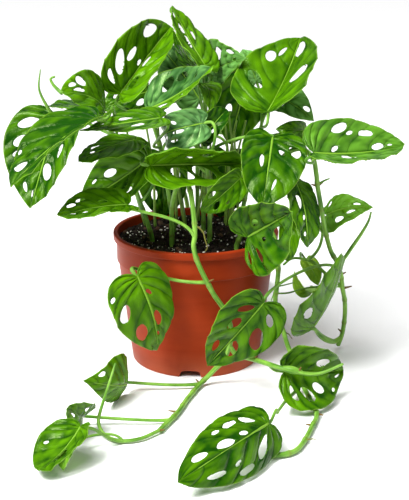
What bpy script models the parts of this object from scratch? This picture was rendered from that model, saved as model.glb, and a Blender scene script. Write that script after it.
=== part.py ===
"""Potted swiss cheese vine (Monstera adansonii) in a plastic nursery pot.

A pot with a raised floor and a notched skirt, its soil, ten leafy stems that stand in
plain holes in the soil, and 48 leaves with their holes. Every leaf is one thin bent blade,
seated on the end of its stalk. Sizes below are in millimetres and are scaled to metres
where the meshes are made. The origin is the middle of the pot's foot, on the floor, with
+Z up and the front of the plant towards -Y.
"""
import math

import bmesh
import bpy
from mathutils import Vector
from mathutils.geometry import delaunay_2d_cdt

# Driving sizes in millimetres
MM = 0.001
POT_HEIGHT = 137.0
RIM_RADIUS = 85.0
FOOT_RADIUS = 66.5
WALL = 3.0
LIP_WIDTH = 5.0
LIP_HEIGHT = 7.0
LIP_PROUD = 3.5
COLLAR_HEIGHT = 30.0
COLLAR_STEP = 1.6
FLOOR_RISE = 8.0
NOTCH_WIDTH = 21.0
NOTCH_HEIGHT = 7.0
NOTCHES = 3
NOTCH_TURN = math.radians(-95)
POT_SEGMENTS = 40
SOIL_TOP = 130.0
SEAT_GAP = 0.35
STEM_FOOT = 108.0
HOLE_CLEARANCE = 1.0
BLADE = 0.8
STEM_SIDES = 6
STALK_SIDES = 5
STEM_STEP = 13.0
LEAF_CELLS = 8


# Start from an empty scene
for old in list(bpy.data.objects):
    bpy.data.objects.remove(old)


def material(name, colour, roughness):
    """A Principled material from a linear colour."""
    made = bpy.data.materials.new(name)
    made.use_nodes = True
    shader = made.node_tree.nodes["Principled BSDF"]
    shader.inputs["Base Color"].default_value = (*colour, 1)
    shader.inputs["Roughness"].default_value = roughness
    shader.inputs["Metallic"].default_value = 0
    made.diffuse_color = (*colour, 1)
    return made


def mesh_object(name, points, faces, finish):
    """An object from points in millimetres and faces as index lists."""
    mesh = bpy.data.meshes.new(name)
    mesh.from_pydata([tuple(c * MM for c in p) for p in points], [], faces)
    mesh.validate()
    made = bpy.data.objects.new(name, mesh)
    bpy.context.scene.collection.objects.link(made)
    if finish:
        mesh.materials.append(finish)
    return made


def bake(made):
    """Replace an object's mesh by its evaluated one and drop the modifiers."""
    bpy.context.view_layer.update()
    seen = made.evaluated_get(bpy.context.evaluated_depsgraph_get())
    mesh = bpy.data.meshes.new_from_object(seen)
    made.modifiers.clear()
    made.data = mesh


def combine(name, base, others, operation):
    """Boolean union or difference of one object with a group of others, applied."""
    group = bpy.data.collections.new(name + " group")
    bpy.context.scene.collection.children.link(group)
    for other in others:
        bpy.context.scene.collection.objects.unlink(other)
        group.objects.link(other)
    step = base.modifiers.new("combine", "BOOLEAN")
    step.operation = operation
    step.operand_type = "COLLECTION"
    step.collection = group
    bake(base)
    for other in others:
        bpy.data.objects.remove(other)
    bpy.data.collections.remove(group)
    return base


def spline(points, u):
    """A point on the smooth curve through the points, u from 0 to 1."""
    count = len(points) - 1
    place = min(max(u, 0), 1) * count
    i = min(int(place), count - 1)
    f = place - i
    b = Vector(points[i])
    c = Vector(points[i + 1])
    a = Vector(points[i - 1]) if i > 0 else 2 * b - c
    d = Vector(points[i + 2]) if i + 2 <= count else 2 * c - b
    square = 2 * a - 5 * b + 4 * c - d
    cube = 3 * b - a - 3 * c + d
    return 0.5 * (2 * b + (c - a) * f + square * f ** 2 + cube * f ** 3)


def tube(name, route, radii, sides, finish):
    """A closed tube along a list of points; the ring frame is carried along without twist."""
    count = len(route)
    points = []
    side = Vector((0.3, 0.2, 0.93))
    for i, centre in enumerate(route):
        run = (route[min(i + 1, count - 1)] - route[max(i - 1, 0)]).normalized()
        if i == 0:
            side = side.cross(run)
        side = (side - run * side.dot(run)).normalized()
        over = run.cross(side)
        for k in range(sides):
            turn = 2 * math.pi * k / sides
            points.append(centre + radii[i] * (math.cos(turn) * side + math.sin(turn) * over))
    faces = [list(range(sides))[::-1]]
    for i in range(count - 1):
        for k in range(sides):
            q = (k + 1) % sides
            low = i * sides
            faces.append([low + k, low + q, low + sides + q, low + sides + k])
    faces.append([(count - 1) * sides + k for k in range(sides)])
    return mesh_object(name, points, faces, finish)


def turned(name, profile, segments, finish):
    """A solid turned about Z from a profile (radius, height) that starts and ends on the axis."""
    points = [(0, 0, profile[0][1])]
    for radius, height in profile[1:-1]:
        for k in range(segments):
            turn = 2 * math.pi * k / segments
            points.append((radius * math.cos(turn), radius * math.sin(turn), height))
    points.append((0, 0, profile[-1][1]))
    last = len(points) - 1
    faces = []
    for k in range(segments):
        q = (k + 1) % segments
        faces.append([0, 1 + k, 1 + q])
        for row in range(len(profile) - 3):
            low = 1 + row * segments
            faces.append([low + k, low + segments + k, low + segments + q, low + q])
        low = 1 + (len(profile) - 3) * segments
        faces.append([low + k, last, low + q])
    return mesh_object(name, points, faces, finish)


# Pot: a lip that stands proud, a collar under it, a tapered wall and a notched skirt
pot_finish = material("terracotta plastic", (0.50, 0.085, 0.025), 0.38)
lip_foot = POT_HEIGHT - LIP_HEIGHT
collar_foot = POT_HEIGHT - COLLAR_HEIGHT
wall_radius = RIM_RADIUS - LIP_PROUD
taper = (wall_radius - COLLAR_STEP - FOOT_RADIUS) / collar_foot


def wall_outside(height):
    """Outer radius of the tapered wall below the collar."""
    return FOOT_RADIUS + taper * height


def wall_inside(height):
    """Inner radius of the pot at a height, clear of the collar's step."""
    return wall_outside(height) - WALL


pot_profile = [
    (0, FLOOR_RISE + WALL),
    (wall_inside(FLOOR_RISE + WALL), FLOOR_RISE + WALL),
    (wall_inside(lip_foot), lip_foot),
    (RIM_RADIUS - LIP_WIDTH, POT_HEIGHT - 1.2),
    (RIM_RADIUS - LIP_WIDTH + 1.2, POT_HEIGHT),
    (RIM_RADIUS - 1.5, POT_HEIGHT),
    (RIM_RADIUS, POT_HEIGHT - 1.5),
    (RIM_RADIUS, lip_foot + 1),
    (RIM_RADIUS - 1, lip_foot),
    (wall_radius, lip_foot),
    (wall_outside(collar_foot) + COLLAR_STEP, collar_foot),
    (wall_outside(collar_foot), collar_foot - 1.5),
    (FOOT_RADIUS + 0.5, 1.2),
    (FOOT_RADIUS - 0.2, 0),
    (FOOT_RADIUS - WALL, 0),
    (FOOT_RADIUS - WALL, FLOOR_RISE),
    (0, FLOOR_RISE),
]
pot = turned("pot", pot_profile[::-1], POT_SEGMENTS, pot_finish)
notch_cutters = []
for k in range(NOTCHES):
    turn = NOTCH_TURN + 2 * math.pi * k / NOTCHES
    out = Vector((math.cos(turn), math.sin(turn), 0))
    across = Vector((-math.sin(turn), math.cos(turn), 0))
    arch = [(-1, -3), (1, -3), (1, 0.55), (0.72, 1), (-0.72, 1), (-1, 0.55)]
    corners = []
    for reach in (FOOT_RADIUS - WALL - 3, FOOT_RADIUS + 3):
        for wide, high in arch:
            lift = Vector((0, 0, high * NOTCH_HEIGHT))
            corners.append(out * reach + across * (wide * NOTCH_WIDTH / 2) + lift)
    n = len(arch)
    sheet = [list(range(n))[::-1], list(range(n, 2 * n))]
    sheet += [[i, (i + 1) % n, n + (i + 1) % n, n + i] for i in range(n)]
    notch_cutters.append(mesh_object("notch", corners, sheet, None))
combine("pot", pot, notch_cutters, "DIFFERENCE")


# Stem routes: node, radius, points; a stem that stands in soil starts at its foot
STEMS = [
    ("stem_front", 2.5, [
        (-24, -28, 135), (-23, -38, 172), (-17, -52, 197), (-9, -65, 203), (-5, -76, 197),
        (-3, -81, 185), (-1, -88, 167), (-1, -92, 156), (-2, -94.5, 148), (1, -96, 135),
        (6, -97, 123), (11, -98, 113), (18, -97, 99), (28, -95, 83), (34, -93, 64),
        (33, -91, 45), (26, -88, 27), (18, -86, 17), (11, -86, 9), (4, -92, 4.5),
        (-8, -124, 3.8), (-17, -155, 3.8), (-24, -172, 3.8), (-33, -193, 3.8)]),
    ("stem_right", 2.4, [
        (60, -22, 135), (68, -34, 180), (84, -48, 222), (100, -60, 235), (112, -65, 227),
        (116, -64, 211), (118, -60, 198), (122, -56, 178), (126, -50, 159), (131, -44, 139),
        (136, -38, 124), (143, -32, 111), (148, -26, 96), (151, -20, 79), (155, -10, 62),
        (157, 0, 42), (156, 6, 20), (152, 8, 5)]),
    ("stem_inner", 2.4, [
        (41, -46, 135), (50, -58, 158), (64, -68, 164), (75, -71, 152), (79, -71, 136),
        (81, -68, 116), (80, -66, 97), (79, -64, 81), (83, -63, 62), (88, -64, 48),
        (92, -67, 35), (98, -79, 22), (104, -100, 9), (110, -130, 3.8), (113, -160, 3.8),
        (107, -184, 3.8), (97, -214, 3.8), (88, -233, 3.8), (77, -241, 3.8), (64, -243, 3.8)]),
    ("stem_left", 2.4, [
        (-45, -16, 135), (-56, -20, 172), (-68, -20, 205), (-76, -16, 226), (-80, -12, 238)]),
    ("stem_top_left", 2.4, [(-23, 11, 135), (-29, 14, 180), (-36, 14, 220), (-42, 10, 244)]),
    ("stem_top", 2.4, [(8, 21, 135), (9, 25, 190), (10, 26, 240), (10, 24, 268)]),
    ("stem_top_right", 2.4, [(45, 8, 135), (54, 6, 185), (62, 2, 225), (66, -4, 244)]),
    ("stem_middle", 2.4, [(14, -30, 135), (14, -34, 175), (12, -38, 205), (10, -40, 222)]),
    ("stem_back", 2.4, [(2, 53, 135), (2, 58, 180), (2, 62, 215), (3, 66, 232)]),
    ("vine_back", 2.5, [
        (-12, 42, 132), (-16, 60, 156), (-16, 78, 164), (-14, 92, 156), (-10, 98, 140),
        (-6, 99, 110), (0, 96, 70), (4, 98, 34), (8, 108, 9), (12, 130, 3.8),
        (10, 165, 3.8), (4, 200, 3.8), (0, 228, 3.8)]),
]

# Branches fused to a stem: node, points, and radii at the start, the middle and the end
BRANCHES = [
    ("stem_front", [
        (33, -91, 45), (39, -92, 36), (46, -96, 35), (54, -106, 37), (66, -128, 42), (79, -142, 43),
        (96, -148, 41), (108, -148, 39), (120, -148, 41), (137, -150, 50)], 2.3, 2.4, 1.2),
    ("stem_front", [(82, -143, 43), (90, -146, 42.5), (99, -148, 41)], 2.5, 3.8, 2.0),
    ("stem_front", [
        (-33, -193, 3.8), (-50, -209, 3.4), (-68, -213, 3.4), (-82, -205, 5), (-88, -198, 13),
        (-87, -190, 21), (-81, -168, 36), (-75, -152, 52)], 1.8, 1.7, 0.9),
    ("stem_right", [
        (155, 7, 14), (148, 6, 10), (139, -8, 17), (130, -18, 26), (122, -34, 40)], 2.4, 3.2, 1.8),
    ("stem_right", [
        (143, -30, 109), (150, -29, 114), (158, -28, 126), (167, -29, 141), (173, -31, 154),
        (175, -33, 164)], 1.9, 1.9, 1.0),
    ("stem_right", [
        (151, -20, 79), (143, -18, 87), (132, -24, 97), (119, -28, 110), (106, -34, 116),
        (96, -38, 117), (88, -42, 112)], 1.9, 1.6, 1.2),
    ("stem_inner", [
        (103, -100, 9), (98, -113, 7), (90, -132, 9), (83, -154, 13), (73, -199, 24)], 1.9, 1.6, 1.4),
]

# Root nubs at the stem nodes: node, root point, end point
NUBS = [
    ("stem_front", (11, -98, 113), (17, -101, 117)),
    ("stem_front", (4, -92, 4.5), (0, -84, 6)),
    ("stem_front", (-17, -155, 3.8), (-26, -152, 4)),
    ("stem_front", (-33, -193, 3.8), (-29, -199, 7)),
    ("stem_front", (54, -106, 37), (56, -106, 43)),
    ("stem_front", (96, -148, 41), (98, -149, 46.5)),
    ("stem_right", (118, -60, 198), (123, -61, 202)),
    ("stem_right", (118, -60, 198), (112, -61, 200)),
    ("stem_right", (148, -26, 96), (153, -27, 99)),
    ("stem_right", (151, -20, 79), (160, -22, 82)),
    ("stem_right", (156, 6, 20), (151, 4, 25)),
    ("stem_inner", (113, -160, 3.8), (119, -162, 3.5)),
    ("stem_inner", (107, -184, 3.8), (101, -181, 3.5)),
]

# Leaves in millimetres: base, tip, the way the upper face looks, width, arch, fold, cup,
# skew, fullness, holes. Arch lifts the middle of the blade, fold raises its two halves and
# cup curls them, in degrees. A hole is a cell between two side veins, counted from the base,
# right-hand cells below zero, how far it reaches from midrib to edge, and its width.
LEAVES = {
    "leaf_left_1": (
        (-91, -87, 271), (-165, -147, 220), (-0.44, -0.21, 0.87), 77, 6, 11, 6, -0.1, 0.5,
        [(-6, 0.82, 0.94, 0.5), (-7.2, 0.24, 0.84, 0.5), (-6.5, 0.42, 0.6, 0.2)]),
    "leaf_left_2": (
        (-139, 10, 251), (-164, -35, 169), (-0.29, -0.8, 0.53), 78, 2, 5, 7, -0.2, 0.5,
        [(-3.5, 0.37, 0.81, 1), (-4.7, 0.53, 0.81, 0.4), (-6, 0.48, 0.84, 0.3), (-7.1, 0.54, 0.72, 0.4),
         (5, 0.5, 0.64, 0.6), (6.3, 0.11, 0.68, 0.5)]),
    "leaf_left_3": (
        (-89, -9, 257), (-128, -56, 289), (0.79, -0.3, 0.53), 54, 13, 0, 8, -0.2, 1,
        [(-6.4, 0.47, 0.9, 0.5), (-7.2, 0.54, 0.8, 0.5), (-7, 0.15, 0.42, 0.8)]),
    "leaf_left_4": (
        (-97, 20, 254), (-147, -3, 265), (0.24, -0.07, 0.97), 39, 4, 0, 4, 0, 0.6,
        [(5, 0.4, 0.7, 0.8)]),
    "leaf_top_1": (
        (-76, 22, 274), (-25, 78, 334), (0.19, -0.8, 0.57), 69, 4, 38, 8, 0.2, 1,
        [(3, 0.31, 0.74, 0.4), (4.2, 0.32, 0.8, 0.8), (5.2, 0.35, 0.56, 0.7), (6.6, 0.5, 0.86, 1.3),
         (-5.8, 0.05, 0.27, 0.4), (-4.3, 0.14, 0.35, 1.1)]),
    "leaf_top_2": (
        (10, 2, 305), (-23, 46, 359), (0.66, -0.33, 0.68), 50, -1, 0, 9, 0, 0.8,
        [(5.6, 0.08, 0.34, 0.9), (6.4, 0.1, 0.54, 0.4), (7.2, 0.6, 0.78, 0.6), (-5.9, 0.3, 0.5, 0.5)]),
    "leaf_top_3": (
        (7, 28, 293), (-22, 31, 337), (-0.78, -0.41, -0.47), 36, 5, 2, 6, 0, 0.4,
        [(-5, 0.35, 0.6, 0.8)]),
    "leaf_top_4": (
        (19, 50, 291), (50, -2, 313), (-0.87, -0.48, 0.09), 51, 6, 8, 7, 0.2, 0.2,
        [(5.3, 0.27, 0.78, 1.1), (6.7, 0.64, 0.85, 0.7)]),
    "leaf_top_5": (
        (70, -35, 266), (106, 35, 328), (-0.37, -0.5, 0.78), 100, -4, 36, -5, -0.06, 1,
        [(4.7, 0.36, 0.79, 0.5), (6.3, 0.53, 0.81, 0.5), (7, 0.46, 0.61, 0.5), (-5, 0.38, 0.79, 0.5),
         (-7.4, 0.08, 0.78, 1.2)]),
    "leaf_top_6": (
        (-45, -15, 266), (18, -40, 312), (-0.64, -0.23, 0.74), 71, -4, -5, 22, 0.1, 0.2,
        [(4.4, 0.42, 0.82, 0.9), (5.4, 0.6, 0.86, 0.6), (-4.6, 0.12, 0.38, 0.8)]),
    "leaf_top_7": (
        (7, -5, 288), (14, -37, 265), (0.35, -0.49, 0.8), 28, 9, 10, 8, 0, 0.3,
        [(-5, 0.3, 0.6, 0.8)]),
    "leaf_right_1": (
        (62, 35, 285), (49, 55, 313), (-0.13, -0.83, 0.54), 26, 7, 10, 8, 0, 0.6,
        [(6, 0.3, 0.6, 0.8)]),
    "leaf_right_2": (
        (82, -5, 274), (115, -37, 257), (-0.29, -0.66, 0.69), 36, 8, 10, 7, 0, 0.4,
        [(7, 0.3, 0.85, 0.6), (-4.7, 0.26, 0.55, 0.9)]),
    "leaf_right_3": (
        (110, -94, 239), (197, -79, 242), (0.05, -0.45, 0.89), 67, -4, 21, 2, 0.1, 1,
        [(4.5, 0.59, 0.88, 0.7), (6, 0.59, 0.8, 0.6), (6.9, 0.05, 0.38, 0.4), (-5, 0.3, 0.65, 0.7)]),
    "leaf_right_4": (
        (106, -30, 246), (78, -36, 249), (0.22, -0.94, 0.26), 19, 6, 7, 9, 0, 0.6,
        []),
    "leaf_right_5": (
        (120, -47, 47), (142, -75, 135), (0.77, -0.53, -0.36), 74, 5, -15, -5, 0, 0.3,
        [(4.5, 0.48, 0.76, 0.9), (-6.5, 0.3, 0.7, 0.6)]),
    "leaf_right_6": (
        (133, -14, 156), (176, -40, 171), (-0.53, -0.47, 0.7), 45, 6, 10, -5, -0.2, 0,
        [(3.2, 0.45, 0.75, 0.8), (-5.2, 0.45, 0.75, 0.8), (-6.4, 0.28, 0.52, 0.7), (6.8, 0.32, 0.58, 0.7)]),
    "leaf_right_7": (
        (119, -20, 79), (101, -23, 99), (-0.27, -0.88, -0.38), 19, 11, 32, 12, 0, 0.4,
        []),
    "leaf_right_8": (
        (114, -13, 107), (126, -19, 82), (0.18, -0.94, 0.29), 19, 5, 9, 8, 0, 0.5,
        []),
    "leaf_middle_1": (
        (74, -55, 245), (62, -109, 191), (0.07, -0.71, 0.7), 63, 7, 0, 7, 0.1, 1,
        [(4, 0.49, 0.83, 1.1), (6.8, 0.34, 0.46, 0.6), (-5.5, 0.22, 0.38, 0.8)]),
    "leaf_middle_2": (
        (49, -100, 159), (87, -159, 201), (-0.74, -0.63, -0.22), 74, -3, 22, 4, -0.2, 1,
        [(-2.1, 0.4, 0.78, 0.6), (-3.9, 0.32, 0.7, 0.4), (-6.2, 0.2, 0.52, 1.1), (4.9, 0.16, 0.46, 0.3)]),
    "leaf_middle_3": (
        (96, -70, 205), (105, -109, 151), (0.72, -0.51, 0.48), 49, 5, -7, 7, 0, 1,
        [(-5.2, 0.16, 0.42, 1.1)]),
    "leaf_middle_4": (
        (91, -84, 169), (88, -89, 131), (-0.12, -0.98, 0.13), 23, 7, 16, 10, 0, 0.8,
        []),
    "leaf_middle_5": (
        (6, -52, 258), (-31, -27, 241), (-0.59, -0.8, 0.13), 38, 15, 2, 8, 0.1, 1,
        [(5.6, 0.06, 0.25, 1.4), (5.7, 0.45, 0.66, 0.8)]),
    "leaf_middle_6": (
        (7, -40, 241), (31, -28, 267), (0.04, -0.92, 0.39), 27, 8, 17, 11, 0.1, 1,
        [(-5, 0.2, 0.5, 0.8)]),
    "leaf_middle_7": (
        (-43, -73, 222), (50, -43, 216), (0.31, -0.95, 0.09), 68, -4, 38, 20, 0, 1,
        [(-5, 0.1, 0.59, 1), (-6, 0.05, 0.75, 0.7), (-7.1, 0.1, 0.8, 0.6), (6, 0.42, 0.66, 0.4)]),
    "leaf_middle_8": (
        (-45, -45, 223), (-116, -25, 171), (-0.53, -0.73, 0.43), 76, -4, 21, 12, 0.2, 0.8,
        [(5.6, 0.42, 0.79, 1), (-5.8, 0.3, 0.61, 0.5)]),
    "leaf_middle_9": (
        (-64, -96, 190), (-127, -123, 186), (0.05, -0.28, 0.96), 48, 3, 5, 11, 0, 1,
        [(-5.1, 0.21, 0.4, 0.4), (-6, 0.6, 0.77, 0.5), (-6.8, 0.49, 0.84, 0.5), (7.3, 0.3, 0.42, 0.8)]),
    "leaf_middle_10": (
        (-58, -55, 243), (-110, -85, 229), (-0.08, -0.28, 0.96), 44, 3, -6, 3, 0, 1,
        [(-6, 0.55, 0.75, 0.7)]),
    "leaf_middle_11": (
        (-33, -69, 267), (-108, -84, 258), (-0.06, -0.3, 0.95), 43, 1, 0, 4, 0, 0,
        [(5, 0.3, 0.6, 0.7), (-5.5, 0.3, 0.6, 0.7)]),
    "leaf_middle_12": (
        (43, -67, 208), (5, -73, 176), (0.19, -0.98, -0.02), 32, 3, 8, 9, 0, 0.9,
        [(-6.1, 0.5, 0.82, 0.9), (6.6, 0.16, 0.75, 0.5)]),
    "leaf_pot_1": (
        (-55, -110, 123), (-38, -100, 43), (0.65, -0.76, 0.04), 72, 10, -1, 0, -0.18, 0.3,
        [(6.2, 0.05, 0.46, 0.8), (-4.5, 0.54, 0.88, 0.7), (-6.2, 0.42, 0.86, 1.1)]),
    "leaf_pot_2": (
        (64, -118, 99), (11, -111, 32), (0.1, -0.98, -0.19), 66, 2, 7, 4, 0, 0.5,
        [(-4.2, 0.15, 0.57, 0.5), (-5.3, 0.21, 0.56, 0.6), (-6.8, 0.43, 0.72, 0.7), (3.8, 0.31, 0.64, 0.6),
         (5.1, 0.34, 0.86, 1), (6.6, 0.05, 0.65, 0.8)]),
    "leaf_pot_3": (
        (84, -135, 36), (143, -104, 23), (0.49, -0.85, 0.2), 73, 5, 26, 9, -0.1, 0.4,
        [(5.9, 0.32, 0.71, 0.8), (-3.4, 0.35, 0.75, 0.6), (-4.6, 0.39, 0.79, 0.6), (-5.6, 0.33, 0.68, 0.5),
         (-7.6, 0.35, 0.55, 0.4)]),
    "leaf_floor_1": (
        (63, -236, 31), (-15, -315, 17), (0.45, -0.55, 0.7), 60, 10, -15, -5, 0.05, 1,
        [(-4, 0.28, 0.65, 0.5), (-4.7, 0.55, 0.74, 0.5), (-6, 0.05, 0.39, 0.5), (-6.9, 0.3, 0.74, 0.5),
         (4, 0.22, 0.74, 0.9), (4.9, 0.7, 0.9, 0.8), (6.5, 0.58, 0.78, 0.9)]),
    "leaf_floor_2": (
        (-67, -114, 14), (-104, -166, 41), (0.8, -0.6, -0.07), 51, 9, -15, -5, -0.2, 0,
        [(-6.8, 0.61, 0.88, 0.6)]),
    "leaf_floor_3": (
        (-103, -188, 14), (-114, -223, 40), (0.84, -0.5, -0.21), 37, 4, 13, 9, 0.1, 1,
        [(6.9, 0.1, 0.34, 0.8), (-5, 0.4, 0.7, 0.8)]),
    "leaf_floor_4": (
        (-100, -243, 32), (-132, -284, 11), (-0.33, -0.2, 0.92), 47, -4, -14, 25, -0.33, 1,
        [(6.2, 0.05, 0.49, 1.2)]),
    "leaf_floor_5": (
        (-107, -235, 16), (-113, -269, 4), (-0.5, -0.35, 0.8), 22, 3, 4, 6, 0, 0.7,
        [(5, 0.35, 0.65, 0.9)]),
    "leaf_back_1": (
        (4, 56, 262), (-38, 84, 314), (0.1, -0.8, 0.6), 56, 5, 5, 6, 0, 0.7, "back"),
    "leaf_back_2": (
        (58, 86, 288), (36, 58, 213), (0, -0.93, 0.35), 62, 5, 8, 6, 0, 0.8, "back"),
    "leaf_back_3": (
        (33, 46, 205), (26, 40, 138), (0, -0.97, 0.1), 56, 5, 8, 6, 0, 0.8, "back"),
    "leaf_back_4": (
        (-50, 54, 270), (-96, 38, 254), (0.1, -0.75, 0.65), 42, 3, 5, 6, 0, 0.7, "back"),
    "leaf_back_5": (
        (-34, 36, 206), (-34, 32, 140), (0, -0.97, 0.1), 54, 5, 8, 6, 0, 0.8, "back"),
    "leaf_back_6": (
        (-30, 104, 96), (-62, 128, 40), (-0.3, 0.9, 0.3), 52, 5, 5, 6, 0, 0.7, "back"),
    "leaf_back_7": (
        (34, 178, 22), (84, 222, 15), (0, -0.1, 1), 56, 5, 5, 6, 0, 0.7, "back"),
    "leaf_back_8": (
        (-4, 240, 22), (-16, 311, 14), (0, 0.1, 1), 60, 5, 5, 6, 0, 0.7, "back"),
    "leaf_back_9": (
        (24, 96, 236), (46, 150, 196), (0.1, 0.5, 0.85), 58, 5, 5, 6, 0, 0.7, "back"),
}
BACK_HOLES = [(4.5, 0.3, 0.7, 0.9), (-6.2, 0.35, 0.65, 0.8)]

# Leaf stalks: leaf, node, where the stalk starts, radius, and a pull point where the plain
# arc would meet a neighbour
STALKS = [
    ("leaf_left_1", "stem_left", (-76, -16, 226), 1.4, (-83, -35, 299)),
    ("leaf_left_2", "stem_left", (-80, -12, 238), 1.4, (-96, -8, 241)),
    ("leaf_left_3", "stem_left", (-80, -12, 238), 1.4, (-86, -4, 239)),
    ("leaf_left_4", "stem_left", (-80, -12, 238), 1.4, (-87, -2, 241)),
    ("leaf_middle_10", "stem_left", (-79, -13, 235), 1.4, (-93, -54, 240)),
    ("leaf_middle_8", "stem_left", (-56, -20, 172), 1.4, (-45, -20, 176)),
    ("leaf_top_1", "stem_top_left", (-42, 10, 244), 1.4),
    ("leaf_top_6", "stem_top_left", (-42, 10, 244), 1.4),
    ("leaf_middle_11", "stem_top_left", (-36, 14, 220), 1.4, (-56, -13, 223)),
    ("leaf_top_2", "stem_top", (10, 24, 268), 1.4),
    ("leaf_top_3", "stem_top", (10, 24, 268), 1.4, (12, 28, 287)),
    ("leaf_top_4", "stem_top", (10, 24, 268), 1.4, (18, 53, 253)),
    ("leaf_top_7", "stem_top", (10, 26, 240), 1.1),
    ("leaf_top_5", "stem_top_right", (65, -3, 241), 1.4, (67, -10, 249)),
    ("leaf_right_1", "stem_top_right", (66, -4, 243), 1.1),
    ("leaf_right_2", "stem_top_right", (64, -1, 236), 1.4),
    ("leaf_right_4", "stem_top_right", (62, 2, 225), 1.1),
    ("leaf_right_3", "stem_right", (112, -65, 227), 1.4, (114, -86, 223)),
    ("leaf_middle_5", "stem_middle", (10, -40, 222), 1.4, (19, -66, 231)),
    ("leaf_middle_6", "stem_middle", (10, -40, 222), 1.1),
    ("leaf_middle_7", "stem_middle", (12, -38, 205), 1.4, (-28, -27, 243)),
    ("leaf_middle_12", "stem_middle", (14, -34, 175), 1.4, (39, -35, 179)),
    ("leaf_middle_1", "stem_middle", (10, -40, 222), 1.4),
    ("leaf_middle_9", "stem_front", (-1, -92, 156), 1.4),
    ("leaf_pot_1", "stem_front", (11, -98, 113), 1.5, (-34, -62, 98)),
    ("leaf_pot_3", "stem_front", (66, -128, 42), 1.4),
    ("leaf_floor_2", "stem_front", (4, -92, 4.5), 1.4, (-26, -101, 5)),
    ("leaf_floor_3", "stem_front", (-24, -172, 3.8), 1.4, (-52, -178, 5)),
    ("leaf_floor_4", "stem_front", (-66, -213, 3.4), 1.4, (-80, -220, 5)),
    ("leaf_floor_5", "stem_front", (-66, -213, 3.4), 1.1),
    ("leaf_pot_2", "stem_right", (148, -26, 96), 1.4),
    ("leaf_right_6", "stem_right", (113, -31, 113), 1.4, (136, -18, 124)),
    ("leaf_right_5", "stem_right", (122, -34, 40), 1.4, (119, -35, 40)),
    ("leaf_right_8", "stem_right", (106, -34, 116), 1.1, (107, -10, 115)),
    ("leaf_right_7", "stem_right", (132, -24, 97), 1.1, (133, -14, 86)),
    ("leaf_middle_2", "stem_inner", (50, -58, 158), 1.4),
    ("leaf_middle_3", "stem_inner", (64, -68, 164), 1.4),
    ("leaf_middle_4", "stem_inner", (66, -69, 163), 1.1, (77, -72, 167)),
    ("leaf_floor_1", "stem_inner", (73, -199, 24), 1.4),
    ("leaf_back_1", "stem_back", (3, 65, 230), 1.4),
    ("leaf_back_2", "stem_back", (3, 65, 231), 1.4, (26, 84, 262)),
    ("leaf_back_3", "stem_back", (2, 61, 212), 1.4, (20, 56, 232)),
    ("leaf_back_4", "stem_back", (3, 64, 226), 1.4, (-18, 76, 268)),
    ("leaf_back_5", "stem_back", (2, 61, 209), 1.4, (-16, 56, 228)),
    ("leaf_back_6", "vine_back", (0, 96, 70), 1.4),
    ("leaf_back_7", "vine_back", (10, 165, 3.8), 1.4),
    ("leaf_back_8", "vine_back", (0, 228, 3.8), 1.4),
    ("leaf_back_9", "stem_back", (3, 66, 232), 1.4),
]


def leaf_frame(base, tip, face):
    """Length, run from base to tip, and the direction that the upper face looks."""
    span = Vector(tip) - Vector(base)
    run = span.normalized()
    look = Vector(face)
    look = (look - run * look.dot(run)).normalized()
    return span.length, run, look


# Margin of one half of a blade for a narrow and a full leaf, length 1 and half width 1
NARROW = [(-0.05, 0.09), (-0.10, 0.46), (-0.03, 0.80), (0.12, 0.98), (0.29, 0.99),
          (0.46, 0.88), (0.62, 0.67), (0.77, 0.42), (0.89, 0.19), (1.0, 0.0)]
WIDE = [(-0.05, 0.09), (-0.10, 0.48), (-0.01, 0.82), (0.15, 0.97), (0.33, 1.0),
        (0.51, 0.95), (0.68, 0.80), (0.83, 0.56), (0.94, 0.28), (1.0, 0.0)]
VEIN_SLOPE = 0.32
VEIN_BOW = 0.08
VEIN_EASE = 0.012
HOLE_REACH = 0.47
MARGIN_STRETCH = 1.35


def blade_point(v, t, full):
    """Flat place on a blade: v runs along the margin from base to tip, t out from the midrib."""
    margin = []
    for slim, broad in zip(NARROW, WIDE):
        margin.append([(1 - full) * a + full * b for a, b in zip(slim, broad)] + [0])
    edge = spline(margin, v)
    ahead = edge.x - VEIN_SLOPE * edge.y
    foot = 0.5 * (ahead + math.sqrt(ahead ** 2 + VEIN_EASE * max(0.0, edge.y))) * min(1.0, 6 * v)
    out = abs(t)
    bow = VEIN_BOW * out * (1 - out) * min(1.0, 3 * edge.y)
    return foot + (edge.x - foot) * out - bow, edge.y * t


def bend(x, y, base, tip, face, width, arch, fold, cup, skew):
    """Bend a flat place on a blade to its place on the plant."""
    length, run, look = leaf_frame(base, tip, face)
    along = max(x, 0)
    rise = 4 * arch * (along - along * along) + (4 * arch * x if x < 0 else 0)
    slope = 4 * arch * (1 - 2 * along) / length
    left = look.cross(run)
    up = (run + look * slope).normalized().cross(left)
    tilt = math.radians(fold + cup * abs(y))
    reach = width / 2 * (1 + skew * (1 if y > 0 else -1 if y < 0 else 0))
    middle = Vector(base) + run * length * x + look * rise
    return middle + left * (y * reach * math.cos(tilt)) + up * (abs(y) * reach * math.sin(tilt))


def hole_loop(cell, near, far, wide, count):
    """A lens-shaped hole between two side veins, as places on the flat blade."""
    side = 1 if cell > 0 else -1
    middle_v = (abs(cell) - 0.5) / LEAF_CELLS
    half_v = HOLE_REACH / LEAF_CELLS * math.sqrt(wide)
    loop = []
    for k in range(count):
        turn = 2 * math.pi * k / count
        t = (near + far) / 2 + (far - near) / 2 * math.cos(turn)
        loop.append((middle_v + half_v * math.sin(turn), side * t))
    return loop


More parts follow.
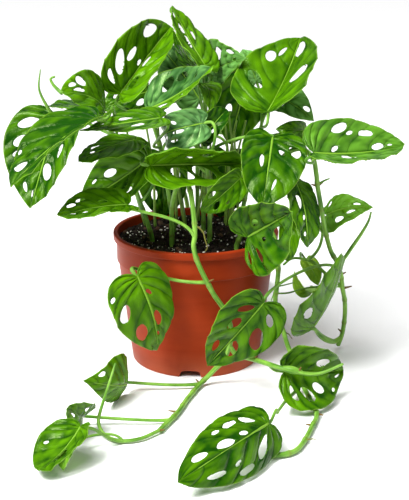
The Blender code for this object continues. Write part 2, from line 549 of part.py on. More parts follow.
def blade(name, row, finish):
    """One leaf: a triangulated sheet with its holes, bent, then given its thickness."""
    base, tip, face, width, arch, fold, cup, skew, full, holes = row
    length = (Vector(tip) - Vector(base)).length
    large = width >= 34
    if holes == "back":
        holes = BACK_HOLES
    steps = [0, 0.12, 0.28, 0.46, 0.64, 0.84, 1]
    if large:
        steps = [0, 0.05, 0.12, 0.21, 0.32, 0.44, 0.56, 0.68, 0.79, 0.9, 1]
    places = [(v, 1) for v in steps] + [(1, 0)] + [(v, -1) for v in reversed(steps)] + [(0, 0)]
    border = len(places)
    edges = [(i, (i + 1) % border) for i in range(border)]
    spine = [0.45, 0.58, 0.7, 0.84] if large else [0.5, 0.74]
    previous = border - 1
    for v in spine:
        edges.append((previous, len(places)))
        previous = len(places)
        places.append((v, 0))
    edges.append((previous, len(steps)))
    if large:
        places += [(v, side * 0.5) for v in (0.25, 0.5, 0.75) for side in (1, -1)]
    loop_of = {}
    for number, hole in enumerate(holes):
        loop = hole_loop(*hole, 6 if large else 5)
        first = len(places)
        places += loop
        for i in range(len(loop)):
            edges.append((first + i, first + (i + 1) % len(loop)))
            loop_of[first + i] = number
    stretch_v = MARGIN_STRETCH * length
    stretch_t = width / 2
    flat_points = [Vector((v * stretch_v, t * stretch_t)) for v, t in places]
    made = delaunay_2d_cdt(flat_points, edges, [], 0, 1e-5, True)
    found, triangles, sources = made[0], made[2], made[3]
    keys = {}
    index = []
    for i, place in enumerate(found):
        v, t = place.x / stretch_v, place.y / stretch_t
        x, y = blade_point(v, t, full)
        index.append(keys.setdefault((round(x, 4), round(y, 4)), len(keys)))
    sheet = [bend(x, y, base, tip, face, width, arch, fold, cup, skew) for x, y in keys]
    corners = list(keys)
    faces = []
    for triangle in triangles:
        loops = {loop_of.get(sources[i][0] if sources[i] else -1, -1) for i in triangle}
        if len(loops) == 1 and -1 not in loops:
            continue
        a, b, c = (index[i] for i in triangle)
        if len({a, b, c}) < 3:
            continue
        (ax, ay), (bx, by), (cx, cy) = corners[a], corners[b], corners[c]
        area = (bx - ax) * (cy - ay) - (by - ay) * (cx - ax)
        if abs(area) < 1e-6:
            continue
        faces.append((a, b, c) if area > 0 else (a, c, b))
    return thicken(name, sheet, faces, finish)


def thicken(name, sheet, faces, finish):
    """Give a sheet of triangles its thickness, split alike on both sides, with closed rims."""
    used = sorted({i for f in faces for i in f})
    place = {old: new for new, old in enumerate(used)}
    faces = [tuple(place[i] for i in f) for f in faces]
    sheet = [sheet[i] for i in used]
    normals = [Vector((0, 0, 0)) for _ in sheet]
    for a, b, c in faces:
        normal = (sheet[b] - sheet[a]).cross(sheet[c] - sheet[a])
        for i in (a, b, c):
            normals[i] += normal
    half = BLADE / 2
    points = [p + n.normalized() * half for p, n in zip(sheet, normals)]
    points += [p - n.normalized() * half for p, n in zip(sheet, normals)]
    count = len(sheet)
    solid = [list(f) for f in faces]
    solid += [[c + count, b + count, a + count] for a, b, c in faces]
    rims = {}
    for a, b, c in faces:
        for edge in ((a, b), (b, c), (c, a)):
            rims[edge] = True
    for a, b in rims:
        if (b, a) not in rims:
            solid.append([b, a, a + count])
            solid.append([b, a + count, b + count])
    return mesh_object(name, points, solid, finish)


def even_route(points, step):
    """Points about one step apart along the smooth curve through a route."""
    fine = [spline(points, k / (12 * (len(points) - 1))) for k in range(12 * (len(points) - 1) + 1)]
    total = sum((b - a).length for a, b in zip(fine, fine[1:]))
    count = max(2, round(total / step))
    route = [fine[0]]
    gone = 0.0
    for a, b in zip(fine, fine[1:]):
        gone += (b - a).length
        if gone >= total * len(route) / count and len(route) < count:
            route.append(b)
    route.append(fine[-1])
    return route


def stalk_end(row, radius):
    """Where a stalk stops, just under the blade at its base."""
    base, tip, face, fold = row[0], row[1], row[2], row[5]
    length, run, look = leaf_frame(base, tip, face)
    drop = BLADE / 2 + SEAT_GAP + radius * (0.75 + math.tan(math.radians(max(0, -fold))))
    return Vector(base) - look * drop + run * 1.5, run, look


def stalk_route(row, start, radius, pulls):
    """A cubic arc from the stem to a neck under the leaf's base, then straight up to the blade."""
    start = Vector(start)
    end, run, look = stalk_end(row, radius)
    span = (end - start).length
    neck = end - look * min(4, 0.25 * span) - run * min(6, 0.35 * span)
    second = neck - (end - neck).normalized() * min(14, 0.3 * span)
    first = Vector(pulls[0]) if pulls else start + Vector((0, 0, 0.25 * span)) + 0.12 * (neck - start)
    count = max(2, min(6, round(span / 12)))
    route = []
    for k in range(count + 1):
        u = k / count
        w = 1 - u
        route.append(w ** 3 * start + 3 * u * w * w * first + 3 * u * u * w * second + u ** 3 * neck)
    return route + [end]


# Leafy stems: each main stem is fused with its branches, root nubs and leaf stalks
stem_finish = material("green stem", (0.22, 0.42, 0.06), 0.45)
rooted = []
for node, radius, points in STEMS:
    foot = Vector(points[0])
    points = [(foot.x, foot.y, STEM_FOOT), (foot.x, foot.y, (STEM_FOOT + foot.z) / 2)] + points
    rooted.append((foot.x, foot.y, radius))
    route = even_route(points, STEM_STEP)
    main = tube(node, route, [radius] * len(route), STEM_SIDES, stem_finish)
    pieces = []
    for owner, way, thick_start, thick_middle, thick_end in BRANCHES:
        if owner == node:
            bits = even_route(way, 9.0)
            last = len(bits) - 1
            radii = [(thick, 0, 0) for thick in (thick_start, thick_middle, thick_end)]
            girth = [spline(radii, i / last).x for i in range(last + 1)]
            pieces.append(tube("branch", bits, girth, STALK_SIDES, stem_finish))
    for owner, root, end in NUBS:
        if owner == node:
            pieces.append(tube("nub", [Vector(root), Vector(end)], [1.5, 0.7], 4, stem_finish))
    for leaf, owner, start, thick, *pulls in STALKS:
        if owner == node:
            bits = stalk_route(LEAVES[leaf], start, thick, pulls)
            girth = [thick * (1.25 if i == 0 else 1) for i in range(len(bits))]
            pieces.append(tube("stalk", bits, girth, STALK_SIDES, stem_finish))
    combine(node, main, pieces, "UNION")

# Soil: fills the pot to just under the lip, slightly uneven on top, with a hole for each stem
soil_finish = material("dark potting soil", (0.018, 0.012, 0.009), 0.95)
soil_rings = [0.0, 24.0, 48.0, 66.0, wall_inside(SOIL_TOP) - SEAT_GAP - 0.3]
soil_segments = 28


def soil_height(radius, turn):
    """Gentle humps of the soil's top."""
    humps = 1.2 * math.sin(0.09 * radius + 2 * turn) + 0.9 * math.cos(3 * turn - 0.07 * radius)
    return SOIL_TOP - 0.9 + humps


soil_points = [(0, 0, SOIL_TOP)]
for radius in soil_rings[1:]:
    for k in range(soil_segments):
        turn = 2 * math.pi * k / soil_segments
        soil_points.append((radius * math.cos(turn), radius * math.sin(turn), soil_height(radius, turn)))
low = FLOOR_RISE + WALL + SEAT_GAP
for k in range(soil_segments):
    turn = 2 * math.pi * k / soil_segments
    radius = wall_inside(low) - SEAT_GAP - 0.3
    soil_points.append((radius * math.cos(turn), radius * math.sin(turn), low))
soil_points.append((0, 0, low))
soil_faces = []
rings = len(soil_rings)
for k in range(soil_segments):
    q = (k + 1) % soil_segments
    soil_faces.append([0, 1 + k, 1 + q])
    for row in range(rings - 1):
        near = 1 + row * soil_segments
        far = near + soil_segments
        soil_faces.append([near + k, far + k, far + q])
        soil_faces.append([near + k, far + q, near + q])
    near = 1 + (rings - 1) * soil_segments
    soil_faces.append([near + k, len(soil_points) - 1, near + q])
soil = mesh_object("soil", soil_points, soil_faces, soil_finish)
wells = []
for x, y, radius in rooted:
    route = [Vector((x, y, STEM_FOOT - SEAT_GAP)), Vector((x, y, SOIL_TOP + 12))]
    wells.append(tube("well", route, [radius + HOLE_CLEARANCE] * 2, 8, None))
combine("soil", soil, wells, "DIFFERENCE")

# Leaves: one node each; the young ones a paler green
leaf_finish = material("green leaf", (0.07, 0.22, 0.02), 0.35)
young_finish = material("young leaf", (0.25, 0.50, 0.05), 0.35)
YOUNG = {"leaf_right_7", "leaf_right_8", "leaf_floor_5"}
for name, row in LEAVES.items():
    blade(name, row, young_finish if name in YOUNG else leaf_finish)

# Shade the round pieces smooth
for made in bpy.context.scene.objects:
    made.data.shade_smooth()
    made.data.set_sharp_from_angle(angle=math.radians(40))
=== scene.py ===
"""Looks of the potted swiss cheese vine: a Monstera adansonii in a terracotta-coloured nursery pot.

Every piece is worked out in millimetres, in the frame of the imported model, and becomes metres
where its mesh is made. The front of the plant faces -Y and the pot stands on z = 0.
"""
import math

import bmesh
import bpy
import numpy as np
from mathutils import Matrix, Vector


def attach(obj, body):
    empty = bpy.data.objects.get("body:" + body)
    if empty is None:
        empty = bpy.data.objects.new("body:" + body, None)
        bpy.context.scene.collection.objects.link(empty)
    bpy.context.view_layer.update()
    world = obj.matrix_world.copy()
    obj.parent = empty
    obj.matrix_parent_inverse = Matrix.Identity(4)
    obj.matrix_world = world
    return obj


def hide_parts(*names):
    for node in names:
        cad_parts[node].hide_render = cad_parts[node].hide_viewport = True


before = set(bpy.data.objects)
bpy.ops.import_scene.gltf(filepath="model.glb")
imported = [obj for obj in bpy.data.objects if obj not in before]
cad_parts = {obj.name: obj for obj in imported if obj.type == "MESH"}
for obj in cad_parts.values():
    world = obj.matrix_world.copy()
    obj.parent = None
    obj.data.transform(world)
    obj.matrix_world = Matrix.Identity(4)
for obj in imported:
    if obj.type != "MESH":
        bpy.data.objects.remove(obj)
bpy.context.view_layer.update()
MM = 0.001

# Camera: stands about 1.2 m in front of the pot, as high as a seated viewer's eyes above a
# table, and looks a little down on the plant through a lens of moderate reach.
def scene_object(name, data, looking=None):
    """A new object of the scene, turned to look along a direction if one is given."""
    made = bpy.data.objects.new(name, data)
    bpy.context.scene.collection.objects.link(made)
    if looking is not None:
        made.rotation_mode = "QUATERNION"
        made.rotation_quaternion = looking.to_track_quat("-Z", "Y")
    return made


EYE = Vector((0.0, -1.184, 0.490))
LOOK_DOWN = math.radians(17.6)
LOOK_RIGHT = math.radians(0.44)
FOCAL_PIXELS = 1200.0
LONG_SIDE_PIXELS = 500.0
SENSOR = 36.0
forward = Vector((
    math.sin(LOOK_RIGHT) * math.cos(LOOK_DOWN),
    math.cos(LOOK_RIGHT) * math.cos(LOOK_DOWN),
    -math.sin(LOOK_DOWN)))
camera = scene_object("camera", bpy.data.cameras.new("camera"), forward)
camera.location = EYE
camera.data.sensor_width = SENSOR
camera.data.lens = FOCAL_PIXELS / LONG_SIDE_PIXELS * SENSOR
camera.data.clip_start = 0.05
camera.data.clip_end = 30.0
bpy.context.scene.camera = camera
bpy.context.scene.view_settings.view_transform = "Standard"


# Studio: a white paper sweep on the floor, lit by a soft box above on the left, a weaker one on
# the right, a faint one behind, the even glow of a pale ceiling and pale walls all round.
def linear(code):
    """Linear colour, with its alpha, of an sRGB hex code."""
    parts = np.array([int(code[i:i + 2], 16) for i in (1, 3, 5)]) / 255.0
    parts = np.where(parts <= 0.04045, parts / 12.92, ((parts + 0.055) / 1.055) ** 2.4)
    return (*(float(p) for p in parts), 1.0)


def feed(tree, node, sources):
    """Give inputs of a node their source: an output of another node, a number or a colour."""
    for name, source in sources.items():
        if isinstance(source, bpy.types.NodeSocket):
            tree.links.new(source, node.inputs[name])
        else:
            node.inputs[name].default_value = source


def add(tree, kind, sources=(), **settings):
    """Add one node; its sources come as a list in the order of its inputs, or by name."""
    node = tree.nodes.new("ShaderNode" + kind)
    for name, value in settings.items():
        setattr(node, name, value)
    feed(tree, node, sources if isinstance(sources, dict) else dict(enumerate(sources)))
    return node.outputs


def new_material(name):
    """An empty node material, its tree, and its Principled shader."""
    made = bpy.data.materials.new(name)
    made.use_nodes = True
    return made, made.node_tree, made.node_tree.nodes["Principled BSDF"]


PLANT_MIDDLE = Vector((0.0, -0.02, 0.16))
for name, place, size, power, colour in [
        ("gloss box", (-0.9, -0.9, 1.7), 0.7, 52.0, "#FFFFFF"),
        ("side box", (1.6, -0.6, 0.9), 0.9, 6.0, "#F6FAFF"),
        ("back box", (0.2, 1.3, 1.3), 1.0, 3.0, "#FFFFFF")]:
    lamp = scene_object(name, bpy.data.lights.new(name, "AREA"), PLANT_MIDDLE - Vector(place))
    lamp.location = place
    lamp.data.size = size
    lamp.data.energy = power
    lamp.data.color = linear(colour)[:3]
CEILING_GLOW = Vector((0.34, 0.42, -1.0))
ceiling = scene_object("ceiling", bpy.data.lights.new("ceiling", "SUN"), CEILING_GLOW)
ceiling.data.energy = 3.1
ceiling.data.angle = math.radians(50)
ceiling.visible_glossy = False
world = bpy.data.worlds.new("studio walls")
bpy.context.scene.world = world
world.use_nodes = True
WALL_LIGHT = 0.12
world_tree = world.node_tree
seen = add(world_tree, "LightPath")["Is Camera Ray"]
walls = add(world_tree, "Background", [linear("#FFFFFF"), WALL_LIGHT])[0]
sky = add(world_tree, "Background", [linear("#FFFFFF"), 1.0])[0]
mixed = add(world_tree, "MixShader", [seen, walls, sky])[0]
feed(world_tree, world_tree.nodes["World Output"], {"Surface": mixed})

paper, tree, shader = new_material("matt paper sweep")
feed(tree, shader, {"Base Color": linear("#FBFBFB"), "Roughness": 0.95, "Specular IOR Level": 0.1})
paper_mesh = bpy.data.meshes.new("floor")
paper_mesh.from_pydata([(-6, -6, 0), (6, -6, 0), (6, 6, 0), (-6, 6, 0)], [], [(0, 1, 2, 3)])
paper_mesh.materials.append(paper)
scene_object("floor", paper_mesh)


# Pot: one injection-moulded nursery pot in terracotta-coloured polypropylene, with a rolled lip,
# a collar below it, a tapered wall, a raised floor and a skirt with three notches at its foot.
def grid_faces(rows, columns, round_columns=False):
    """Quads of a grid of points; corner order turns from columns to rows."""
    row = np.arange(rows - 1)[:, None] * columns
    column = np.arange(columns if round_columns else columns - 1)[None, :]
    beside = (column + 1) % columns
    corners = [row + column, row + beside, row + columns + beside, row + columns + column]
    return np.stack(corners, -1).reshape(-1, 4)


def piece(name, points, faces, finish, nodes=(), corner_uv=None, layers=None, merge=True):
    """A smooth mesh piece from arrays: points in millimetres, faces as rows of point numbers.

    corner_uv has a pair for each face corner and layers holds one number a point by name.
    """
    mesh = bpy.data.meshes.new(name)
    mesh.vertices.add(len(points))
    mesh.vertices.foreach_set("co", (points * MM).astype(np.float32).ravel())
    mesh.loops.add(faces.size)
    mesh.loops.foreach_set("vertex_index", faces.astype(np.int32).ravel())
    mesh.polygons.add(len(faces))
    starts = np.arange(0, faces.size, faces.shape[1], dtype=np.int32)
    mesh.polygons.foreach_set("loop_start", starts)
    mesh.update(calc_edges=True)
    if corner_uv is not None:
        layer = mesh.uv_layers.new(name="surface")
        layer.data.foreach_set("uv", corner_uv.astype(np.float32).ravel())
    for key, values in (layers or {}).items():
        layer = mesh.attributes.new(key, "FLOAT", "POINT")
        layer.data.foreach_set("value", values.astype(np.float32))
    mesh.validate()
    if merge:
        shape = bmesh.new()
        shape.from_mesh(mesh)
        bmesh.ops.remove_doubles(shape, verts=shape.verts, dist=2e-6)
        bmesh.ops.dissolve_degenerate(shape, edges=shape.edges, dist=1e-7)
        shape.to_mesh(mesh)
        shape.free()
    mesh.shade_smooth()
    mesh.materials.append(finish)
    made = scene_object(name, mesh)
    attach(made, "root")
    if nodes:
        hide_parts(*nodes)


POT_HEIGHT = 137.0
RIM_RADIUS = 85.0
FOOT_RADIUS = 66.5
WALL = 3.0
LIP_WIDTH = 5.0
LIP_HEIGHT = 7.0
LIP_PROUD = 3.5
COLLAR_HEIGHT = 30.0
COLLAR_STEP = 1.6
FLOOR_RISE = 8.0
NOTCH_WIDTH = 21.0
NOTCH_HEIGHT = 7.0
NOTCHES = 3
NOTCH_TURN = math.radians(-95)
lip_foot = POT_HEIGHT - LIP_HEIGHT
collar_foot = POT_HEIGHT - COLLAR_HEIGHT
wall_radius = RIM_RADIUS - LIP_PROUD
taper = (wall_radius - COLLAR_STEP - FOOT_RADIUS) / collar_foot


def wall_outside(height):
    """Outer radius of the tapered wall below the collar."""
    return FOOT_RADIUS + taper * height


def fillet(corners, step):
    """A profile with each corner (radius, height, rounding) rounded and its long sides divided.

    A rounding is a quadratic curve between points that far before and after the corner.
    """
    points = [np.array(corners[0][:2], float)]
    for before, corner, after in zip(corners, corners[1:], corners[2:]):
        b = np.array(corner[:2], float)
        to_a = np.array(before[:2], float) - b
        to_c = np.array(after[:2], float) - b
        reach_a = min(corner[2], 0.49 * np.hypot(*to_a))
        reach_c = min(corner[2], 0.49 * np.hypot(*to_c))
        a = b + to_a / np.hypot(*to_a) * reach_a
        c = b + to_c / np.hypot(*to_c) * reach_c
        u = np.linspace(0, 1, 6)[:, None]
        points.extend((1 - u) ** 2 * a + 2 * u * (1 - u) * b + u ** 2 * c)
    points.append(np.array(corners[-1][:2], float))
    full = [points[0]]
    for a, b in zip(points, points[1:]):
        count = max(1, int(round(np.hypot(*(b - a)) / step)))
        full.extend(a + (b - a) * k / count for k in range(1, count + 1))
    return np.array(full)


pot_corners = [
    (0, FLOOR_RISE, 0),
    (FOOT_RADIUS - WALL, FLOOR_RISE, 1.0),
    (FOOT_RADIUS - WALL, 0, 0.8),
    (FOOT_RADIUS, 0, 0.8),
    (wall_outside(collar_foot), collar_foot, 0.8),
    (wall_outside(collar_foot) + COLLAR_STEP, collar_foot + 0.4, 0.8),
    (wall_radius, lip_foot, 0.5),
    (RIM_RADIUS - 0.3, lip_foot - 0.2, 0.9),
    (RIM_RADIUS, POT_HEIGHT, 2.2),
    (RIM_RADIUS - LIP_WIDTH, POT_HEIGHT, 1.8),
    (wall_outside(lip_foot) - WALL, lip_foot - 3, 1.0),
    (wall_outside(FLOOR_RISE + WALL) - WALL, FLOOR_RISE + WALL, 2.0),
    (0, FLOOR_RISE + WALL, 0)]
PROFILE_STEP = 3.0
profile = fillet(pot_corners, PROFILE_STEP)
POT_TURNS = 240
turn = np.arange(POT_TURNS) * 2 * math.pi / POT_TURNS
radius = profile[:, :1] + 0 * turn
height = profile[:, 1:] + 0 * turn

# Notches: the foot of the skirt is lifted in three places, with steep sides and a flat arch.
half_share = math.pi / NOTCHES
around = (turn - NOTCH_TURN + half_share) % (2 * half_share) - half_share
from_notch = np.abs(around) * FOOT_RADIUS / (NOTCH_WIDTH / 2)
arch = 1 - 0.35 * np.clip(from_notch, 0, 1) ** 4
notch = NOTCH_HEIGHT * np.clip((1.04 - from_notch) / 0.1, 0, 1) * arch
SKIRT_REACH = 14.0
lift_reach = np.where(profile[:, :1] < FOOT_RADIUS - WALL / 2, FLOOR_RISE - 0.2, SKIRT_REACH)
lifted = np.clip(1 - height / lift_reach, 0, 1)
outside = np.arange(len(profile))[:, None] < len(profile) // 2
skirt = outside & (radius > FOOT_RADIUS - WALL - 0.5)
height = np.where(skirt, height + notch * lifted, height)

# The thin wall isn't quite round: it sways a little, most at the rim.
sway = 0.18 * np.sin(3 * turn + 0.6) + 0.12 * np.sin(7 * turn + 2.1)
radius = radius + sway * np.clip(height / POT_HEIGHT, 0, 1) * (radius > FOOT_RADIUS / 2)
pot_points = np.stack([radius * np.cos(turn), radius * np.sin(turn), height], -1).reshape(-1, 3)

# The plastic: polypropylene, coloured through and moulded in a polished tool. It has a satin
# skin that scatters light wide, faint flow marks round the wall, and a little dust near the foot.
plastic, tree, shader = new_material("moulded terracotta polypropylene")
place = add(tree, "TexCoord")["Object"]
flow_space = add(tree, "Mapping", {"Vector": place, "Scale": (14, 14, 90)})[0]
flow = add(tree, "TexNoise", {"Vector": flow_space, "Scale": 1.0, "Detail": 4.0})["Fac"]
mottle = add(tree, "TexNoise", {"Vector": place, "Scale": 26.0, "Detail": 6.0})["Fac"]
grain = add(tree, "TexNoise", {"Vector": place, "Scale": 900.0, "Detail": 3.0})["Fac"]
blend = add(tree, "Math", [flow, mottle], operation="ADD")[0]
tint = add(tree, "MapRange", [blend, 0.7, 1.3, 0.0, 1.0])[0]
dull, bright = linear("#84280B"), linear("#983311")
clay = add(tree, "Mix", {0: tint, 6: dull, 7: bright}, data_type="RGBA")[2]
low = add(tree, "MapRange", [add(tree, "SeparateXYZ", [place])["Z"], 0.0, 0.03, 0.35, 0.0])[0]
dust = add(tree, "Math", [low, mottle], operation="MULTIPLY")[0]
feed(tree, shader, {
    "Base Color": add(tree, "Mix", {0: dust, 6: clay, 7: linear("#C98A6A")}, data_type="RGBA")[2],
    "Roughness": add(tree, "MapRange", [flow, 0.3, 0.7, 0.38, 0.5])[0],
    "Normal": add(tree, "Bump", {"Height": grain, "Strength": 0.12, "Distance": 0.0003})[0],
    "IOR": 1.49, "Specular IOR Level": 0.16, "Specular Tint": linear("#FFC4A8")})
pot_faces = grid_faces(len(profile), POT_TURNS, True)
piece("nursery_pot", pot_points, pot_faces, plastic, ["pot"])


# Soil: dark peat compost, heaped a little unevenly a finger's breadth under the rim. It is one
# closed body with a crumbly top, and loose crumbs, bark chips and white perlite lie on it.
SOIL_TOP = 130.0
SEAT_GAP = 0.35


def value_noise(x, y, cell, seed):
    """Smooth random heights from -1 to 1: a lattice of random numbers, blended across each cell."""
    lattice = np.random.default_rng(seed).uniform(-1, 1, (64, 64))
    u, v = x / cell, y / cell
    i, j = np.floor(u).astype(int), np.floor(v).astype(int)
    f, g = u - i, v - j
    f, g = f * f * (3 - 2 * f), g * g * (3 - 2 * g)
    low = lattice[i % 64, j % 64] * (1 - f) + lattice[(i + 1) % 64, j % 64] * f
    high = lattice[i % 64, (j + 1) % 64] * (1 - f) + lattice[(i + 1) % 64, (j + 1) % 64] * f
    return low * (1 - g) + high * g


def soil_height(x, y):
    """Top of the soil: gentle humps with three sizes of crumbs on them."""
    r, a = np.hypot(x, y), np.arctan2(y, x)
    humps = SOIL_TOP + 1.2 * np.sin(0.09 * r + 2 * a) + 0.9 * np.cos(3 * a - 0.07 * r) - 0.9
    crumbs = np.abs(value_noise(x, y, 5.0, 3)) * 1.6 + np.abs(value_noise(x, y, 2.4, 4)) * 1.3
    return humps + crumbs + 0.5 * value_noise(x, y, 1.3, 5) - 1.0


SOIL_TURNS = 320
soil_edge = wall_outside(SOIL_TOP) - WALL - SEAT_GAP - 0.3
soil_low = FLOOR_RISE + WALL + SEAT_GAP
low_edge = wall_outside(soil_low) - WALL - SEAT_GAP - 0.3
turn = np.arange(SOIL_TURNS) * 2 * math.pi / SOIL_TURNS
rings = np.linspace(0, soil_edge, 70)[::-1, None]
top_x, top_y = rings * np.cos(turn), rings * np.sin(turn)
top_z = soil_height(top_x, top_y)
side = np.linspace(0, 1, 8)[:-1, None]
side_r = low_edge + (soil_edge - low_edge) * side + 0 * turn
side_z = soil_low + (top_z[0] - soil_low) * side
under = np.zeros((1, SOIL_TURNS))
soil_x = np.concatenate([under, side_r * np.cos(turn), top_x])
soil_y = np.concatenate([under, side_r * np.sin(turn), top_y])
soil_z = np.concatenate([under + soil_low, side_z, top_z])
soil_points = np.stack([soil_x, soil_y, soil_z], -1).reshape(-1, 3)

# Peat compost: rotted moss fibres, which are matt and nearly black when damp, with brown specks.
peat, tree, shader = new_material("damp peat compost")
place = add(tree, "TexCoord")["Object"]
clumps = add(tree, "TexNoise", {"Vector": place, "Scale": 260.0, "Detail": 8.0})["Fac"]
specks = add(tree, "TexVoronoi", {"Vector": place, "Scale": 420.0})["Distance"]
shade = add(tree, "MapRange", [clumps, 0.35, 0.7, 0.0, 1.0])[0]
damp, dry = linear("#0E0A08"), linear("#2B2019")
lumps = add(tree, "Math", [clumps, specks], operation="ADD")[0]
feed(tree, shader, {
    "Base Color": add(tree, "Mix", {0: shade, 6: damp, 7: dry}, data_type="RGBA")[2],
    "Normal": add(tree, "Bump", {"Height": lumps, "Strength": 0.7, "Distance": 0.0012})[0],
    "Roughness": 0.92, "Specular IOR Level": 0.25})
soil_faces = grid_faces(len(soil_z), SOIL_TURNS, True)
piece("potting_soil", soil_points, soil_faces, peat, ["soil"])


def pebble(divisions):
    """Points and triangles of a small ball of radius 1."""
    shape = bmesh.new()
    bmesh.ops.create_icosphere(shape, subdivisions=divisions, radius=1.0)
    points = np.array([v.co[:] for v in shape.verts])
    faces = np.array([[v.index for v in f.verts] for f in shape.faces])
    shape.free()
    return points, faces


def scatter(name, count, sizes, flat, divisions, rough, sink, seed, finish):
    """Many small lumps strewn on the soil: balls with jittered points, scaled, turned and sunk."""
    random = np.random.default_rng(seed)
    ball, faces = pebble(divisions)
    spread = (soil_edge - 3.0) * np.sqrt(random.uniform(0, 1, count))
    angle = random.uniform(0, 2 * math.pi, count)
    x, y = spread * np.cos(angle), spread * np.sin(angle)
    size = sizes[0] + (sizes[1] - sizes[0]) * random.uniform(0, 1, count) ** 2
    shape = ball[None] * (1 + random.uniform(-rough, rough, (count, len(ball), 1)))
    stretch = [random.uniform(0.7, 1.3, count), random.uniform(*flat, count), np.ones(count)]
    shape = shape * (np.stack(stretch, -1) * size[:, None] / 2)[:, None]
    axes = np.linalg.qr(random.normal(size=(count, 3, 3)))[0]
    axes *= np.sign(np.linalg.det(axes))[:, None, None]
    shape = np.einsum("nij,npj->npi", axes, shape)
    centre = np.stack([x, y, soil_height(x, y) + size * (0.5 - sink)], -1)
    points = (shape + centre[:, None]).reshape(-1, 3)
    all_faces = (faces[None] + (np.arange(count) * len(ball))[:, None, None]).reshape(-1, 3)
    piece(name, points, all_faces, finish, merge=False)


# Perlite: puffed volcanic glass, which is chalk white and full of pores.
perlite, tree, shader = new_material("puffed perlite")
place = add(tree, "TexCoord")["Object"]
pores = add(tree, "TexVoronoi", {"Vector": place, "Scale": 1500.0})["Distance"]
stain = add(tree, "TexNoise", {"Vector": place, "Scale": 320.0, "Detail": 3.0})["Fac"]
shade = add(tree, "MapRange", [stain, 0.4, 0.75, 0.0, 1.0])[0]
clean, stained = linear("#EFEBE2"), linear("#B9AE9C")
feed(tree, shader, {
    "Base Color": add(tree, "Mix", {0: shade, 6: clean, 7: stained}, data_type="RGBA")[2],
    "Normal": add(tree, "Bump", {"Height": pores, "Strength": 0.6, "Distance": 0.0003})[0],
    "Roughness": 0.85})
scatter("soil_perlite", 260, (0.9, 3.2), (0.6, 1.0), 2, 0.18, 0.3, 11, perlite)
scatter("soil_crumbs", 620, (1.2, 5.0), (0.5, 1.0), 1, 0.28, 0.25, 12, peat)

# Bark: flat chips of composted pine bark, dull brown with a fibrous grain.
bark, tree, shader = new_material("composted pine bark")
place = add(tree, "TexCoord")["Object"]
fibre = add(tree, "TexNoise", {"Vector": place, "Scale": 700.0, "Detail": 5.0})["Fac"]
dark, pale = linear("#20150E"), linear("#5B3F28")
tone = add(tree, "Mix", {0: fibre, 6: dark, 7: pale}, data_type="RGBA")[2]
feed(tree, shader, {"Base Color": tone, "Roughness": 0.85})
scatter("soil_bark", 90, (3.0, 8.0), (0.18, 0.35), 1, 0.3, 0.35, 13, bark)


# Leaves: 48 leathery blades with oval holes between their side veins. The margin, the bend and
# the holes of each follow the same values as its solid; veins, puckers and waves are added here.

